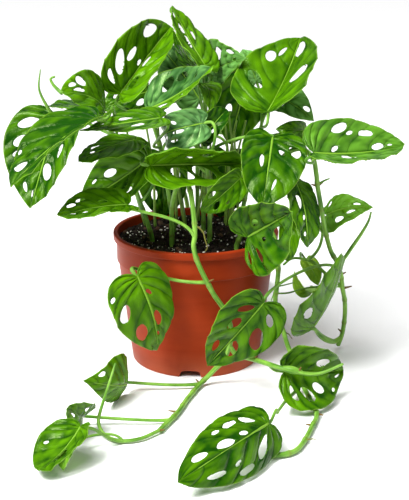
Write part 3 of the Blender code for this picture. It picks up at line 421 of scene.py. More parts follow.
# Each leaf in millimetres: base, tip, the way the upper face looks, width, arch, fold, cup,
# skew, fullness, holes. Arch lifts the middle of the blade, fold raises its two halves and
# cup curls them, in degrees. A hole is a cell between two side veins, counted from the base,
# right-hand cells below zero, how far it reaches from midrib to edge, and its width. The slits
# at the end of a row, 0.1 to 0.2 wide, are too fine for the solid and cut only here, apart from
# the one of left_1.
BACK_HOLES = [(4.5, 0.3, 0.7, 0.9), (-6.2, 0.35, 0.65, 0.8)]
LEAF_ROWS = {
    "left": [
        ((-91, -87, 271), (-165, -147, 220), (-0.44, -0.21, 0.87), 77, 6, 11, 6, -0.1, 0.5,
         [(-6, 0.82, 0.94, 0.5), (-7.2, 0.24, 0.84, 0.5), (-6.5, 0.42, 0.6, 0.2)]),
        ((-139, 10, 251), (-164, -35, 169), (-0.29, -0.8, 0.53), 78, 2, 5, 7, -0.2, 0.5,
         [(-3.5, 0.37, 0.81, 1), (-4.7, 0.53, 0.81, 0.4), (-6, 0.48, 0.84, 0.3),
          (-7.1, 0.54, 0.72, 0.4), (5, 0.5, 0.64, 0.6), (6.3, 0.11, 0.68, 0.5),
          (-5.3, 0.62, 0.83, 0.1), (-7.6, 0.14, 0.27, 0.2)]),
        ((-89, -9, 257), (-128, -56, 289), (0.79, -0.3, 0.53), 54, 13, 0, 8, -0.2, 1,
         [(-6.4, 0.47, 0.9, 0.5), (-7.2, 0.54, 0.8, 0.5), (-7, 0.15, 0.42, 0.8)]),
        ((-97, 20, 254), (-147, -3, 265), (0.24, -0.07, 0.97), 39, 4, 0, 4, 0, 0.6,
         [(5, 0.4, 0.7, 0.8)]),
    ],
    "top": [
        ((-76, 22, 274), (-25, 78, 334), (0.19, -0.8, 0.57), 69, 4, 38, 8, 0.2, 1,
         [(3, 0.31, 0.74, 0.4), (4.2, 0.32, 0.8, 0.8), (5.2, 0.35, 0.56, 0.7),
          (6.6, 0.5, 0.86, 1.3), (-5.8, 0.05, 0.27, 0.4), (-4.3, 0.14, 0.35, 1.1),
          (5.6, 0.05, 0.16, 0.1)]),
        ((10, 2, 305), (-23, 46, 359), (0.66, -0.33, 0.68), 50, -1, 0, 9, 0, 0.8,
         [(5.6, 0.08, 0.34, 0.9), (6.4, 0.1, 0.54, 0.4), (7.2, 0.6, 0.78, 0.6),
          (-5.9, 0.3, 0.5, 0.5)]),
        ((7, 28, 293), (-22, 31, 337), (-0.78, -0.41, -0.47), 36, 5, 2, 6, 0, 0.4,
         [(-5, 0.35, 0.6, 0.8)]),
        ((19, 50, 291), (50, -2, 313), (-0.87, -0.48, 0.09), 51, 6, 8, 7, 0.2, 0.2,
         [(5.3, 0.27, 0.78, 1.1), (6.7, 0.64, 0.85, 0.7), (7.3, 0.05, 0.43, 0.15)]),
        ((70, -35, 266), (106, 35, 328), (-0.37, -0.5, 0.78), 100, -4, 36, -5, -0.06, 1,
         [(4.7, 0.36, 0.79, 0.5), (6.3, 0.53, 0.81, 0.5), (7, 0.46, 0.61, 0.5),
          (-5, 0.38, 0.79, 0.5), (-7.4, 0.08, 0.78, 1.2)]),
        ((-45, -15, 266), (18, -40, 312), (-0.64, -0.23, 0.74), 71, -4, -5, 22, 0.1, 0.2,
         [(4.4, 0.42, 0.82, 0.9), (5.4, 0.6, 0.86, 0.6), (-4.6, 0.12, 0.38, 0.8),
          (-5.8, 0.3, 0.5, 0.1), (6.6, 0.4, 0.7, 0.1)]),
        ((7, -5, 288), (14, -37, 265), (0.35, -0.49, 0.8), 28, 9, 10, 8, 0, 0.3,
         [(-5, 0.3, 0.6, 0.8)]),
    ],
    "right": [
        ((62, 35, 285), (49, 55, 313), (-0.13, -0.83, 0.54), 26, 7, 10, 8, 0, 0.6,
         [(6, 0.3, 0.6, 0.8)]),
        ((82, -5, 274), (115, -37, 257), (-0.29, -0.66, 0.69), 36, 8, 10, 7, 0, 0.4,
         [(7, 0.3, 0.85, 0.6), (-4.7, 0.26, 0.55, 0.9)]),
        ((110, -94, 239), (197, -79, 242), (0.05, -0.45, 0.89), 67, -4, 21, 2, 0.1, 1,
         [(4.5, 0.59, 0.88, 0.7), (6, 0.59, 0.8, 0.6), (6.9, 0.05, 0.38, 0.4), (-5, 0.3, 0.65, 0.7),
          (5.2, 0.57, 0.7, 0.1), (4.9, 0.05, 0.25, 0.1), (7.5, 0.24, 0.39, 0.1)]),
        ((106, -30, 246), (78, -36, 249), (0.22, -0.94, 0.26), 19, 6, 7, 9, 0, 0.6, []),
        ((120, -47, 47), (142, -75, 135), (0.77, -0.53, -0.36), 74, 5, -15, -5, 0, 0.3,
         [(4.5, 0.48, 0.76, 0.9), (-6.5, 0.3, 0.7, 0.6)]),
        ((133, -14, 156), (176, -40, 171), (-0.53, -0.47, 0.7), 45, 6, 10, -5, -0.2, 0,
         [(3.2, 0.45, 0.75, 0.8), (-5.2, 0.45, 0.75, 0.8), (-6.4, 0.28, 0.52, 0.7),
          (6.8, 0.32, 0.58, 0.7)]),
        ((119, -20, 79), (101, -23, 99), (-0.27, -0.88, -0.38), 19, 11, 32, 12, 0, 0.4, []),
        ((114, -13, 107), (126, -19, 82), (0.18, -0.94, 0.29), 19, 5, 9, 8, 0, 0.5, []),
    ],
    "middle": [
        ((74, -55, 245), (62, -109, 191), (0.07, -0.71, 0.7), 63, 7, 0, 7, 0.1, 1,
         [(4, 0.49, 0.83, 1.1), (6.8, 0.34, 0.46, 0.6), (-5.5, 0.22, 0.38, 0.8),
          (4.7, 0.22, 0.42, 0.15)]),
        ((49, -100, 159), (87, -159, 201), (-0.74, -0.63, -0.22), 74, -3, 22, 4, -0.2, 1,
         [(-2.1, 0.4, 0.78, 0.6), (-3.9, 0.32, 0.7, 0.4), (-6.2, 0.2, 0.52, 1.1),
          (4.9, 0.16, 0.46, 0.3), (-5, 0.18, 0.3, 0.1)]),
        ((96, -70, 205), (105, -109, 151), (0.72, -0.51, 0.48), 49, 5, -7, 7, 0, 1,
         [(-5.2, 0.16, 0.42, 1.1), (-6.3, 0.05, 0.38, 0.1), (-7.3, 0.23, 0.6, 0.12)]),
        ((91, -84, 169), (88, -89, 131), (-0.12, -0.98, 0.13), 23, 7, 16, 10, 0, 0.8, []),
        ((6, -52, 258), (-31, -27, 241), (-0.59, -0.8, 0.13), 38, 15, 2, 8, 0.1, 1,
         [(5.6, 0.06, 0.25, 1.4), (5.7, 0.45, 0.66, 0.8), (-5.5, 0.3, 0.6, 0.2),
          (6.8, 0.3, 0.6, 0.15)]),
        ((7, -40, 241), (31, -28, 267), (0.04, -0.92, 0.39), 27, 8, 17, 11, 0.1, 1,
         [(-5, 0.2, 0.5, 0.8)]),
        ((-43, -73, 222), (50, -43, 216), (0.31, -0.95, 0.09), 68, -4, 38, 20, 0, 1,
         [(-5, 0.1, 0.59, 1), (-6, 0.05, 0.75, 0.7), (-7.1, 0.1, 0.8, 0.6), (6, 0.42, 0.66, 0.4),
          (5.3, 0.28, 0.4, 0.15)]),
        ((-45, -45, 223), (-116, -25, 171), (-0.53, -0.73, 0.43), 76, -4, 21, 12, 0.2, 0.8,
         [(5.6, 0.42, 0.79, 1), (-5.8, 0.3, 0.61, 0.5), (-6.6, 0.64, 0.75, 0.15),
          (4.4, 0.5, 0.75, 0.2)]),
        ((-64, -96, 190), (-127, -123, 186), (0.05, -0.28, 0.96), 48, 3, 5, 11, 0, 1,
         [(-5.1, 0.21, 0.4, 0.4), (-6, 0.6, 0.77, 0.5), (-6.8, 0.49, 0.84, 0.5),
          (7.3, 0.3, 0.42, 0.8), (6.4, 0.4, 0.52, 0.2)]),
        ((-58, -55, 243), (-110, -85, 229), (-0.08, -0.28, 0.96), 44, 3, -6, 3, 0, 1,
         [(-6, 0.55, 0.75, 0.7), (-6.9, 0.14, 0.4, 0.15)]),
        ((-33, -69, 267), (-108, -84, 258), (-0.06, -0.3, 0.95), 43, 1, 0, 4, 0, 0,
         [(5, 0.3, 0.6, 0.7), (-5.5, 0.3, 0.6, 0.7), (-6.8, 0.4, 0.55, 0.1)]),
        ((43, -67, 208), (5, -73, 176), (0.19, -0.98, -0.02), 32, 3, 8, 9, 0, 0.9,
         [(-6.1, 0.5, 0.82, 0.9), (6.6, 0.16, 0.75, 0.5), (5.4, 0.6, 0.75, 0.2)]),
    ],
    "pot": [
        ((-55, -110, 123), (-38, -100, 43), (0.65, -0.76, 0.04), 72, 10, -1, 0, -0.18, 0.3,
         [(6.2, 0.05, 0.46, 0.8), (-4.5, 0.54, 0.88, 0.7), (-6.2, 0.42, 0.86, 1.1),
          (-3.1, 0.77, 0.92, 0.1), (7.1, 0.05, 0.35, 0.1), (4.8, 0.05, 0.24, 0.1)]),
        ((64, -118, 99), (11, -111, 32), (0.1, -0.98, -0.19), 66, 2, 7, 4, 0, 0.5,
         [(-4.2, 0.15, 0.57, 0.5), (-5.3, 0.21, 0.56, 0.6), (-6.8, 0.43, 0.72, 0.7),
          (3.8, 0.31, 0.64, 0.6), (5.1, 0.34, 0.86, 1), (6.6, 0.05, 0.65, 0.8)]),
        ((84, -135, 36), (143, -104, 23), (0.49, -0.85, 0.2), 73, 5, 26, 9, -0.1, 0.4,
         [(5.9, 0.32, 0.71, 0.8), (-3.4, 0.35, 0.75, 0.6), (-4.6, 0.39, 0.79, 0.6),
          (-5.6, 0.33, 0.68, 0.5), (-7.6, 0.35, 0.55, 0.4), (-6.5, 0.75, 0.88, 0.1)]),
    ],
    "floor": [
        ((63, -236, 31), (-15, -315, 17), (0.45, -0.55, 0.7), 60, 10, -15, -5, 0.05, 1,
         [(-4, 0.28, 0.65, 0.5), (-4.7, 0.55, 0.74, 0.5), (-6, 0.05, 0.39, 0.5),
          (-6.9, 0.3, 0.74, 0.5), (4, 0.22, 0.74, 0.9), (4.9, 0.7, 0.9, 0.8),
          (6.5, 0.58, 0.78, 0.9), (-5.4, 0.66, 0.78, 0.12), (-5.2, 0.07, 0.24, 0.12),
          (5.6, 0.48, 0.62, 0.1)]),
        ((-67, -114, 14), (-104, -166, 41), (0.8, -0.6, -0.07), 51, 9, -15, -5, -0.2, 0,
         [(-6.8, 0.61, 0.88, 0.6)]),
        ((-103, -188, 14), (-114, -223, 40), (0.84, -0.5, -0.21), 37, 4, 13, 9, 0.1, 1,
         [(6.9, 0.1, 0.34, 0.8), (-5, 0.4, 0.7, 0.8)]),
        ((-100, -243, 32), (-132, -284, 11), (-0.33, -0.2, 0.92), 47, -4, -14, 25, -0.33, 1,
         [(6.2, 0.05, 0.49, 1.2), (-4.9, 0.7, 0.82, 0.15)]),
        ((-107, -235, 16), (-113, -269, 4), (-0.5, -0.35, 0.8), 22, 3, 4, 6, 0, 0.7,
         [(5, 0.35, 0.65, 0.9)]),
    ],
    "back": [
        ((4, 56, 262), (-38, 84, 314), (0.1, -0.8, 0.6), 56, 5, 5, 6, 0, 0.7, BACK_HOLES),
        ((58, 86, 288), (36, 58, 213), (0, -0.93, 0.35), 62, 5, 8, 6, 0, 0.8, BACK_HOLES),
        ((33, 46, 205), (26, 40, 138), (0, -0.97, 0.1), 56, 5, 8, 6, 0, 0.8, BACK_HOLES),
        ((-50, 54, 270), (-96, 38, 254), (0.1, -0.75, 0.65), 42, 3, 5, 6, 0, 0.7, BACK_HOLES),
        ((-34, 36, 206), (-34, 32, 140), (0, -0.97, 0.1), 54, 5, 8, 6, 0, 0.8, BACK_HOLES),
        ((-30, 104, 96), (-62, 128, 40), (-0.3, 0.9, 0.3), 52, 5, 5, 6, 0, 0.7, BACK_HOLES),
        ((34, 178, 22), (84, 222, 15), (0, -0.1, 1), 56, 5, 5, 6, 0, 0.7, BACK_HOLES),
        ((-4, 240, 22), (-16, 311, 14), (0, 0.1, 1), 60, 5, 5, 6, 0, 0.7, BACK_HOLES),
        ((24, 96, 236), (46, 150, 196), (0.1, 0.5, 0.85), 58, 5, 5, 6, 0, 0.7, BACK_HOLES),
    ],
}
NARROW = [(-0.05, 0.09), (-0.10, 0.46), (-0.03, 0.80), (0.12, 0.98), (0.29, 0.99),
          (0.46, 0.88), (0.62, 0.67), (0.77, 0.42), (0.89, 0.19), (1.0, 0.0)]
WIDE = [(-0.05, 0.09), (-0.10, 0.48), (-0.01, 0.82), (0.15, 0.97), (0.33, 1.0),
        (0.51, 0.95), (0.68, 0.80), (0.83, 0.56), (0.94, 0.28), (1.0, 0.0)]
VEIN_SLOPE = 0.32
VEIN_BOW = 0.08
VEIN_EASE = 0.012
LEAF_CELLS = 8
HOLE_REACH = 0.47
BLADE = 0.8
LEAF_STEP = 1.35
MARGIN_STRETCH = 1.35
PUCKER = 2.6
WAVE = 1.3
VEIN_SWEEP = 0.45
VEIN_WANDER = 0.1
BACK_VEIN = 0.28
HALF_SHEET = 0.33
HALF_RIM = 0.24
LEAST_STEP = 0.45
RIB_SIDES = 8


def smooth_curve(points, u):
    """Points of the smooth (Catmull-Rom) curve through the given points, u from 0 to 1."""
    points = np.asarray(points, float)
    padded = np.concatenate([2 * points[:1] - points[1:2], points, 2 * points[-1:] - points[-2:-1]])
    count = len(points) - 1
    at = np.clip(u, 0, 1) * count
    i = np.minimum(at.astype(int), count - 1)
    f = (at - i)[..., None]
    a, b, c, d = (padded[i + k] for k in range(4))
    square, cube = 2 * a - 5 * b + 4 * c - d, 3 * b - a - 3 * c + d
    return 0.5 * (2 * b + (c - a) * f + square * f ** 2 + cube * f ** 3)


def unit(vectors):
    """Vectors scaled to length 1."""
    return vectors / np.maximum(np.linalg.norm(vectors, axis=-1, keepdims=True), 1e-9)


def leaf_frame(base, tip, face):
    """Length, run from base to tip, and the direction that the upper face looks."""
    span = np.subtract(tip, base).astype(float)
    length = np.linalg.norm(span)
    run = span / length
    look = np.asarray(face, float)
    return length, run, unit(look - run * look.dot(run))


def blade_flat(v, t, full):
    """Flat place on a blade: v runs along the margin from base to tip, t out from the midrib."""
    margin = (1 - full) * np.array(NARROW) + full * np.array(WIDE)
    edge = smooth_curve(margin, v)
    edge_x, edge_y = edge[..., 0], np.maximum(edge[..., 1], 0)
    ahead = edge_x - VEIN_SLOPE * edge_y
    foot = 0.5 * (ahead + np.sqrt(ahead ** 2 + VEIN_EASE * edge_y)) * np.minimum(1, 6 * v)
    out = np.abs(t)
    bow = VEIN_BOW * out * (1 - out) * np.minimum(1, 3 * edge_y)
    return foot + (edge_x - foot) * out - bow, edge_y * t


def bend(x, y, base, tip, face, width, arch, fold, cup, skew):
    """Bend flat places to their place on the plant.

    The midrib rises by arch in a parabola; each half tilts up by fold, and by cup more at its edge.
    """
    length, run, look = leaf_frame(base, tip, face)
    x, y = x[..., None], y[..., None]
    along = np.maximum(x, 0)
    rise = 4 * arch * (along - along ** 2) + np.where(x < 0, 4 * arch * x, 0)
    slope = 4 * arch * (1 - 2 * along) / length
    left = np.cross(look, run)
    up = np.cross(unit(run + look * slope), left)
    tilt = np.radians(fold + cup * np.abs(y))
    reach = width / 2 * (1 + skew * np.sign(y))
    middle = np.asarray(base, float) + run * length * x + look * rise
    return middle + left * (y * reach * np.cos(tilt)) + up * (np.abs(y) * reach * np.sin(tilt))


def vein_phase(v, side, holes):
    """Number of side veins passed on one half, so that each hole lies midway between two veins."""
    centres = sorted(abs(hole[0]) - 0.5 for hole in holes if hole[0] * side > 0)
    knots, phases = [0.0], [0.0]
    last = -1
    for centre in centres:
        number = max(math.floor(centre), last + 1)
        if last >= 0 and centre - knots[-1] < LEAST_STEP:
            continue
        knots.append(centre)
        phases.append(number + 0.5)
        last = number
    knots.append(LEAF_CELLS + 0.0)
    phases.append(max(LEAF_CELLS, last + 1) + 0.0)
    return np.interp(v * LEAF_CELLS, knots, phases)


def cut_holes(v, t, holes):
    """Move grid points to the rims of the oval holes and say which quads lie inside one."""
    inside = np.zeros((v.shape[0] - 1, v.shape[1] - 1), bool)
    for cell, near, far, wide in holes:
        side = math.copysign(1, cell)
        at_v, half_v = (abs(cell) - 0.5) / LEAF_CELLS, HOLE_REACH / LEAF_CELLS * math.sqrt(wide)
        at_t, half_t = side * (near + far) / 2, (far - near) / 2
        reach = np.hypot((v - at_v) / half_v, (t - at_t) / half_t)
        middle = (reach[:-1, :-1] + reach[1:, :-1] + reach[:-1, 1:] + reach[1:, 1:]) / 4
        gone = middle < 1
        padded = np.pad(gone, 1).astype(int)
        touched = padded[:-1, :-1] + padded[1:, :-1] + padded[:-1, 1:] + padded[1:, 1:]
        rim = (touched > 0) & (touched < 4)
        scale = np.where(rim, 1 / np.maximum(reach, 0.2), 1)
        v, t = at_v + (v - at_v) * scale, at_t + (t - at_t) * scale
        inside |= gone
    return v, t, inside


def rim_edges(faces):
    """Directed edges that belong to one triangle only."""
    edges = np.concatenate([faces[:, [0, 1]], faces[:, [1, 2]], faces[:, [2, 0]]])
    size = faces.max() + 1
    ahead = edges[:, 0].astype(np.int64) * size + edges[:, 1]
    back = edges[:, 1].astype(np.int64) * size + edges[:, 0]
    return edges[~np.isin(ahead, back)]


def point_normals(points, faces):
    """Normal of each point from the triangles that meet there."""
    corners = points[faces]
    normal = np.cross(corners[:, 1] - corners[:, 0], corners[:, 2] - corners[:, 0])
    total = np.zeros_like(points)
    for k in range(3):
        np.add.at(total, faces[:, k], normal)
    return unit(total)


def run_along(route):
    """How far along a route each of its points lies."""
    steps = np.linalg.norm(np.diff(route, axis=0), axis=1)
    return np.concatenate([[0], np.cumsum(steps)])


def carried_tube(route, radii, sides, flat=0.0, flat_side=None):
    """A closed tube along a route: rings carried along without twist, with rounded ends.

    flat presses a groove into the side that faces flat_side, as on the top of a leaf stalk.
    """
    run = unit(np.gradient(route, axis=0))
    side = np.empty_like(route)
    guide = np.cross((0.3, 0.2, 0.93) if flat_side is None else flat_side, run[0])
    for i in range(len(route)):
        guide = guide - run[i] * guide.dot(run[i])
        guide = guide / np.linalg.norm(guide)
        side[i] = guide
    over = np.cross(run, side)
    turn = np.arange(sides) * 2 * math.pi / sides
    squeeze = 1 - flat * np.maximum(0, -np.sin(turn)) ** 4
    ring = side[:, None] * np.cos(turn)[:, None] + over[:, None] * (np.sin(turn) * squeeze)[:, None]
    cap = np.array([0.0, 0.5, 0.85])
    deep = np.array([0.6, 0.45, 0.2])
    thick, thin = radii[0], radii[-1]
    start = [route[0] - run[0] * thick * d + ring[0] * thick * c for c, d in zip(cap, deep)]
    finish = [route[-1] + run[-1] * thin * d + ring[-1] * thin * c for c, d in zip(cap, deep)]
    body = route[:, None] + ring * radii[:, None, None]
    points = np.concatenate([start, body, finish[::-1]])
    rows = len(points)
    along = np.concatenate([[0, 0], run_along(route)])
    along = np.concatenate([along, np.full(rows - len(along), along[-1])])
    uv = np.stack(np.broadcast_arrays(along[:, None], turn[None] / (2 * math.pi)), -1)
    return points.reshape(-1, 3), grid_faces(rows, sides, True), uv.reshape(-1, 2)


def leaf_blade(name, row, tone, painted_sheen, finish, seed):
    """One leaf: the bent sheet with veins, puckers and holes, closed with a back and a thin rim.

    tone and the sheen are one value for the whole leaf, or one for its right and one for its left
    half.
    The sheen is a painted pale reflection; tone holds painted light and shade with the leaf's own
    lightness.
    """
    base, tip, face, width, arch, fold, cup, skew, full, holes = row
    random = np.random.default_rng(seed)
    length, _, look = leaf_frame(base, tip, face)
    size = min(1.0, width / 60)
    rows = int(round(MARGIN_STRETCH * length / LEAF_STEP)) + 1
    half_columns = int(round(width / 2 / LEAF_STEP)) + 1
    out = np.linspace(0, 1, half_columns + 1)
    out = out * (0.8 + 0.2 * out)
    t_line = np.concatenate([-out[:0:-1], out])
    v, t = np.meshgrid(np.linspace(0, 1, rows), t_line, indexing="ij")
    v, t, inside = cut_holes(v, t, holes)
    x, y = blade_flat(v, t, full)
    out, on_left = np.abs(t), t > 0
    phase = np.where(on_left, vein_phase(v, 1, holes), vein_phase(v, -1, holes))
    wander = VEIN_WANDER * value_noise(5 * v + 9 * on_left, 3 * t, 1.0, seed + 2)
    phase -= (VEIN_SWEEP * out ** 3 + wander) * np.clip(5 * v, 0, 1)
    turns = random.uniform(0, 2 * math.pi, 6)
    # Puckers: the blade swells between two side veins and sinks along them and the midrib
    uneven = value_noise(phase + 20 * on_left, 2.4 * out, 1.0, seed)
    fine = value_noise(2.2 * phase + 20 * on_left, 7 * out, 1.0, seed + 1)
    bulge = np.abs(np.sin(math.pi * phase)) ** 0.55
    dimples = 0.14 * fine + 0.12 * np.abs(np.sin(3 * math.pi * phase))
    swell = bulge * (0.8 + 0.45 * uneven) + dimples - 0.65
    fade = np.clip(out * 5, 0, 1) * np.clip((1 - v) * 5, 0, 1) * np.clip(v * 8, 0, 1)
    groove = np.exp(-(y * width / 2 / 1.5) ** 2) * np.clip((1 - x) * 4, 0, 1) * np.clip(x * 12, 0, 1)
    # Waves: the margin ripples, and the whole half rolls a little
    wave = np.sin(2 * math.pi * 2.3 * v + turns[0] * np.sign(t))
    wave = wave + 0.6 * np.sin(2 * math.pi * 4.1 * v + turns[1]) + 0.5 * (bulge - 0.6)
    roll = np.sin(3.1 * x + turns[2]) * np.sin(2.3 * y + turns[3])
    lift = PUCKER * size * swell * fade * (1 - 0.5 * out ** 2) - 0.9 * size * groove
    lift += WAVE * size * out ** 3 * wave * np.clip(v * 6, 0, 1)
    lift += 0.7 * size * roll * np.clip(x * 6, 0, 1)
    # Painted light and shade: the colour is lighter on the bulges of the puckers and darker in the
    # midrib groove
    painted_relief_light = np.clip(0.5 + 0.5 * swell * fade + 0.3 * fine - 0.3 * groove, 0, 1)
    # Triangles of the sheet, without the holes, on points that are each used once
    sheet = bend(x, y, base, tip, face, width, arch, fold, cup, skew)
    quads = grid_faces(*v.shape)[~inside.ravel()]
    corners = np.concatenate([quads[:, [0, 3, 2]], quads[:, [0, 2, 1]]])
    flat = np.round(np.stack([x.ravel(), y.ravel()], -1), 5)
    first, index = np.unique(flat, axis=0, return_index=True, return_inverse=True)[1:]
    faces = index.ravel()[corners]
    a, b, c = faces.T
    whole = (a != b) & (b != c) & (c != a)
    faces, corners = faces[whole], corners[whole]
    places = sheet.reshape(-1, 3)[first]
    places = places + point_normals(places, faces) * lift.ravel()[first][:, None]
    normals = point_normals(places, faces)
    edges = rim_edges(faces)
    on_rim = np.zeros(len(places), bool)
    on_rim[edges.ravel()] = True
    # The back shows the veins as low ridges
    vein = np.exp(-(np.abs(np.sin(math.pi * phase)) / 0.28) ** 2)
    vein = vein * np.clip(out * 6, 0, 1) * (1 - 0.6 * out)
    ridge = BACK_VEIN * size * vein.ravel()[first] * ~on_rim
    half = np.where(on_rim, HALF_RIM, HALF_SHEET)
    upper = places + normals * half[:, None]
    lower = places - normals * (half + ridge)[:, None]
    count = len(places)
    rim_faces = np.concatenate([
        np.stack([edges[:, 1], edges[:, 0], edges[:, 0] + count], -1),
        np.stack([edges[:, 1], edges[:, 0] + count, edges[:, 1] + count], -1)])
    # Midrib: a tapered rib under the blade, from the stalk to near the tip
    steps = np.linspace(0.0, 0.9, 26)
    spine = bend(steps, 0 * steps, base, tip, face, width, arch, fold, cup, skew)
    girth = (0.35 + 1.0 * size) * (1 - steps) ** 0.8 + 0.12
    spine = spine - look * (0.35 + 0.45 * girth[:, None])
    rib, rib_quads = carried_tube(spine, girth, RIB_SIDES)[:2]
    rib_faces = np.concatenate([rib_quads[:, [0, 1, 2]], rib_quads[:, [0, 2, 3]]]) + 2 * count
    # The map says which vein is near, and how far out from the midrib a point lies
    grid_uv = np.stack([phase.ravel(), t.ravel()], -1)
    both_uv = np.concatenate([grid_uv[first]] * 2)
    uv = np.concatenate([
        grid_uv[corners], grid_uv[corners[:, [0, 2, 1]]], both_uv[rim_faces],
        np.zeros((*rib_faces.shape, 2))])
    points = np.concatenate([upper, lower, rib])
    back_faces = faces[:, [0, 2, 1]] + count
    all_faces = np.concatenate([faces, back_faces, rim_faces, rib_faces])
    halves = np.concatenate([on_left.ravel()[first]] * 2 + [np.zeros(len(rib), bool)])
    layers = {
        "back": np.concatenate([np.zeros(count), np.ones(count + len(rib))]),
        "painted_relief_light": np.concatenate([painted_relief_light.ravel()[first]] * 2 + [np.full(len(rib), 0.5)])}
    for layer, value in (("tone", tone), ("painted_sheen", painted_sheen)):
        right, left = value if isinstance(value, tuple) else (value, value)
        layers[layer] = np.where(halves, left, right)
    piece("blade_" + name, points, all_faces, finish, ["leaf_" + name], uv.reshape(-1, 2), layers)


def leaf_material(name, deep, bright, vein_colour, back_colour):
    """A living leaf: waxy skin over green tissue, with a paler midrib and margin, and a paler dull
    back. Painted shade darkens the sunken side veins, painted light and shade follow the puckers, and
    a pale painted reflection lies on the bulges.
    """
    made, tree, shader = new_material(name)
    place = add(tree, "TexCoord")["Object"]
    surface = add(tree, "UVMap", uv_map="surface")["UV"]
    split = add(tree, "SeparateXYZ", [surface])
    out = add(tree, "Math", [split["Y"]], operation="ABSOLUTE")[0]
    # Distance to the nearest side vein, as a share of the space between two of them
    turned = add(tree, "Math", [split["X"], math.pi], operation="MULTIPLY")[0]
    wave = add(tree, "Math", [turned], operation="SINE")[0]
    gap = add(tree, "Math", [wave], operation="ABSOLUTE")[0]
    side_vein = add(tree, "MapRange", [gap, 0.02, 0.13, 1.0, 0.0])[0]
    near = add(tree, "MapRange", [out, 0.3, 1.0, 1.0, 0.25])[0]
    side_vein = add(tree, "Math", [side_vein, near], operation="MULTIPLY")[0]
    midrib = add(tree, "MapRange", [out, 0.008, 0.03, 0.4, 0.0])[0]
    border = add(tree, "MapRange", [out, 0.97, 0.998, 0.0, 0.35])[0]
    patches = add(tree, "TexNoise", {"Vector": place, "Scale": 55.0, "Detail": 4.0})["Fac"]
    cells = {"Vector": place, "Scale": 420.0}
    net = add(tree, "TexVoronoi", cells, feature="DISTANCE_TO_EDGE")["Distance"]
    # Tone: each leaf's lightness, partly its own and partly painted light and shade from how lit it is
    tone_and_painted_shade = add(tree, "Attribute", attribute_name="tone")["Fac"]
    mixed = add(tree, "Math", [patches, tone_and_painted_shade], operation="ADD")[0]
    # Painted light and shade of the puckers, lighter on the bulges and darker in the groove, shifts
    # the green
    painted_relief_light = add(tree, "Attribute", attribute_name="painted_relief_light")["Fac"]
    summed = add(tree, "Math", [mixed, painted_relief_light], operation="ADD")[0]
    share = add(tree, "MapRange", [summed, 0.9, 2.4, 0.0, 1.0])[0]
    green = add(tree, "Mix", {0: share, 6: linear(deep), 7: linear(bright)}, data_type="RGBA")[2]
    # Painted reflection: a pale mint sheen mixed into the colour on the bulges, where the wax would
    # mirror the white room; the same share also raises the real specular
    painted_sheen = add(tree, "Attribute", attribute_name="painted_sheen")["Fac"]
    waxy = add(tree, "Math", [painted_sheen, painted_relief_light], operation="MULTIPLY")[0]
    green = add(tree, "Mix", {0: waxy, 6: green, 7: linear("#80B878")}, data_type="RGBA")[2]
    # Painted shade: the colour darkens toward the deep green along the sunken side veins
    dark = add(tree, "Math", [side_vein, 0.6], operation="MULTIPLY")[0]
    green = add(tree, "Mix", {0: dark, 6: green, 7: linear(deep)}, data_type="RGBA")[2]
    lines = add(tree, "Math", [midrib, border], operation="MAXIMUM")[0]
    veined = {0: lines, 7: linear(vein_colour)}
    top = add(tree, "Mix", {6: green, **veined}, data_type="RGBA")[2]
    low = add(tree, "Mix", {6: linear(back_colour), **veined}, data_type="RGBA")[2]
    back = add(tree, "Attribute", attribute_name="back")["Fac"]
    pits = add(tree, "MapRange", [net, 0.0, 0.25, 0.0, 1.0])[0]
    sunk = add(tree, "Math", [side_vein, -1.4], operation="MULTIPLY")[0]
    height = add(tree, "Math", [pits, sunk], operation="ADD")[0]
    feed(tree, shader, {
        "Base Color": add(tree, "Mix", {0: back, 6: top, 7: low}, data_type="RGBA")[2],
        "Roughness": add(tree, "MapRange", [back, 0.0, 1.0, 0.27, 0.5])[0],
        "Specular IOR Level": add(tree, "MapRange", [waxy, 0.0, 0.4, 0.32, 0.6])[0],
        "Normal": add(tree, "Bump", {"Height": height, "Strength": 0.22, "Distance": 0.0003})[0],
        "IOR": 1.42, "Specular Tint": linear("#D8F0A8")})
    return made


grown_leaf = leaf_material("waxy grown leaf", "#123E03", "#609804", "#8FB43C", "#55891E")
young_leaf = leaf_material("tender young leaf", "#4E8414", "#9CC43C", "#D2E89A", "#A5CF6A")
YOUNG = {"right_7", "right_8", "floor_5"}
# How light each leaf is, in the order of its row: partly its own tone and partly painted light and
# shade, as on top_6 with one half painted lit and one half painted shaded; and how much pale painted
# reflection each shows
TONES = {
    "left": (0.0, 0.1, 0.6, 0.1),
    "top": (0.7, 0.6, 0.15, 0.55, 0.4, (0.8, 0.05), 0.6),
    "right": (0.7, 0.65, 0.4, 0.25, 0.5, 1.3, 0.9, 0.9),
    "middle": (0.1, 0.2, 0.2, 0.45, 0.05, -0.1, 0.65, 0.4, 0.5, 0.65, 0.4, 0.45),
    "pot": (0.55, 0.25, 0.35),
    "floor": (0.2, 0.65, 0.6, 0.4, 0.2),
    "back": (0.3, 0.05, 0.0, 0.2, 0.0, None, None, None, None),
}
# Painted reflection: how much pale mint sheen is painted on each leaf, or on each half
PAINTED_SHEEN = {"top_6": (0.0, 0.32), "middle_5": 0.5, "right_1": 0.6, "right_2": 0.4, "right_6": 0.2,
         "back_1": 0.45, "top_4": 0.4, "right_3": 0.1}
LEAVES = {}
for group, rows in LEAF_ROWS.items():
    for number, (row, tone) in enumerate(zip(rows, TONES[group]), 1):
        name = f"{group}_{number}"
        order = len(LEAVES)
        LEAVES[name] = row
        if tone is None:
            tone = np.random.default_rng(500 + order).uniform(0.25, 0.5)
        young = name in YOUNG
        finish, slot = (young_leaf, "young_leaf") if young else (grown_leaf, "leaf")
        leaf_blade(name, row, tone, PAINTED_SHEEN.get(name, 0.0), finish, 100 + order)


# Stems: ten green climbing stems with their branches, leaf stalks and brown root nubs, one piece
# for each stem. All stand in the soil. Four of them hang over the rim, and three creep on below.

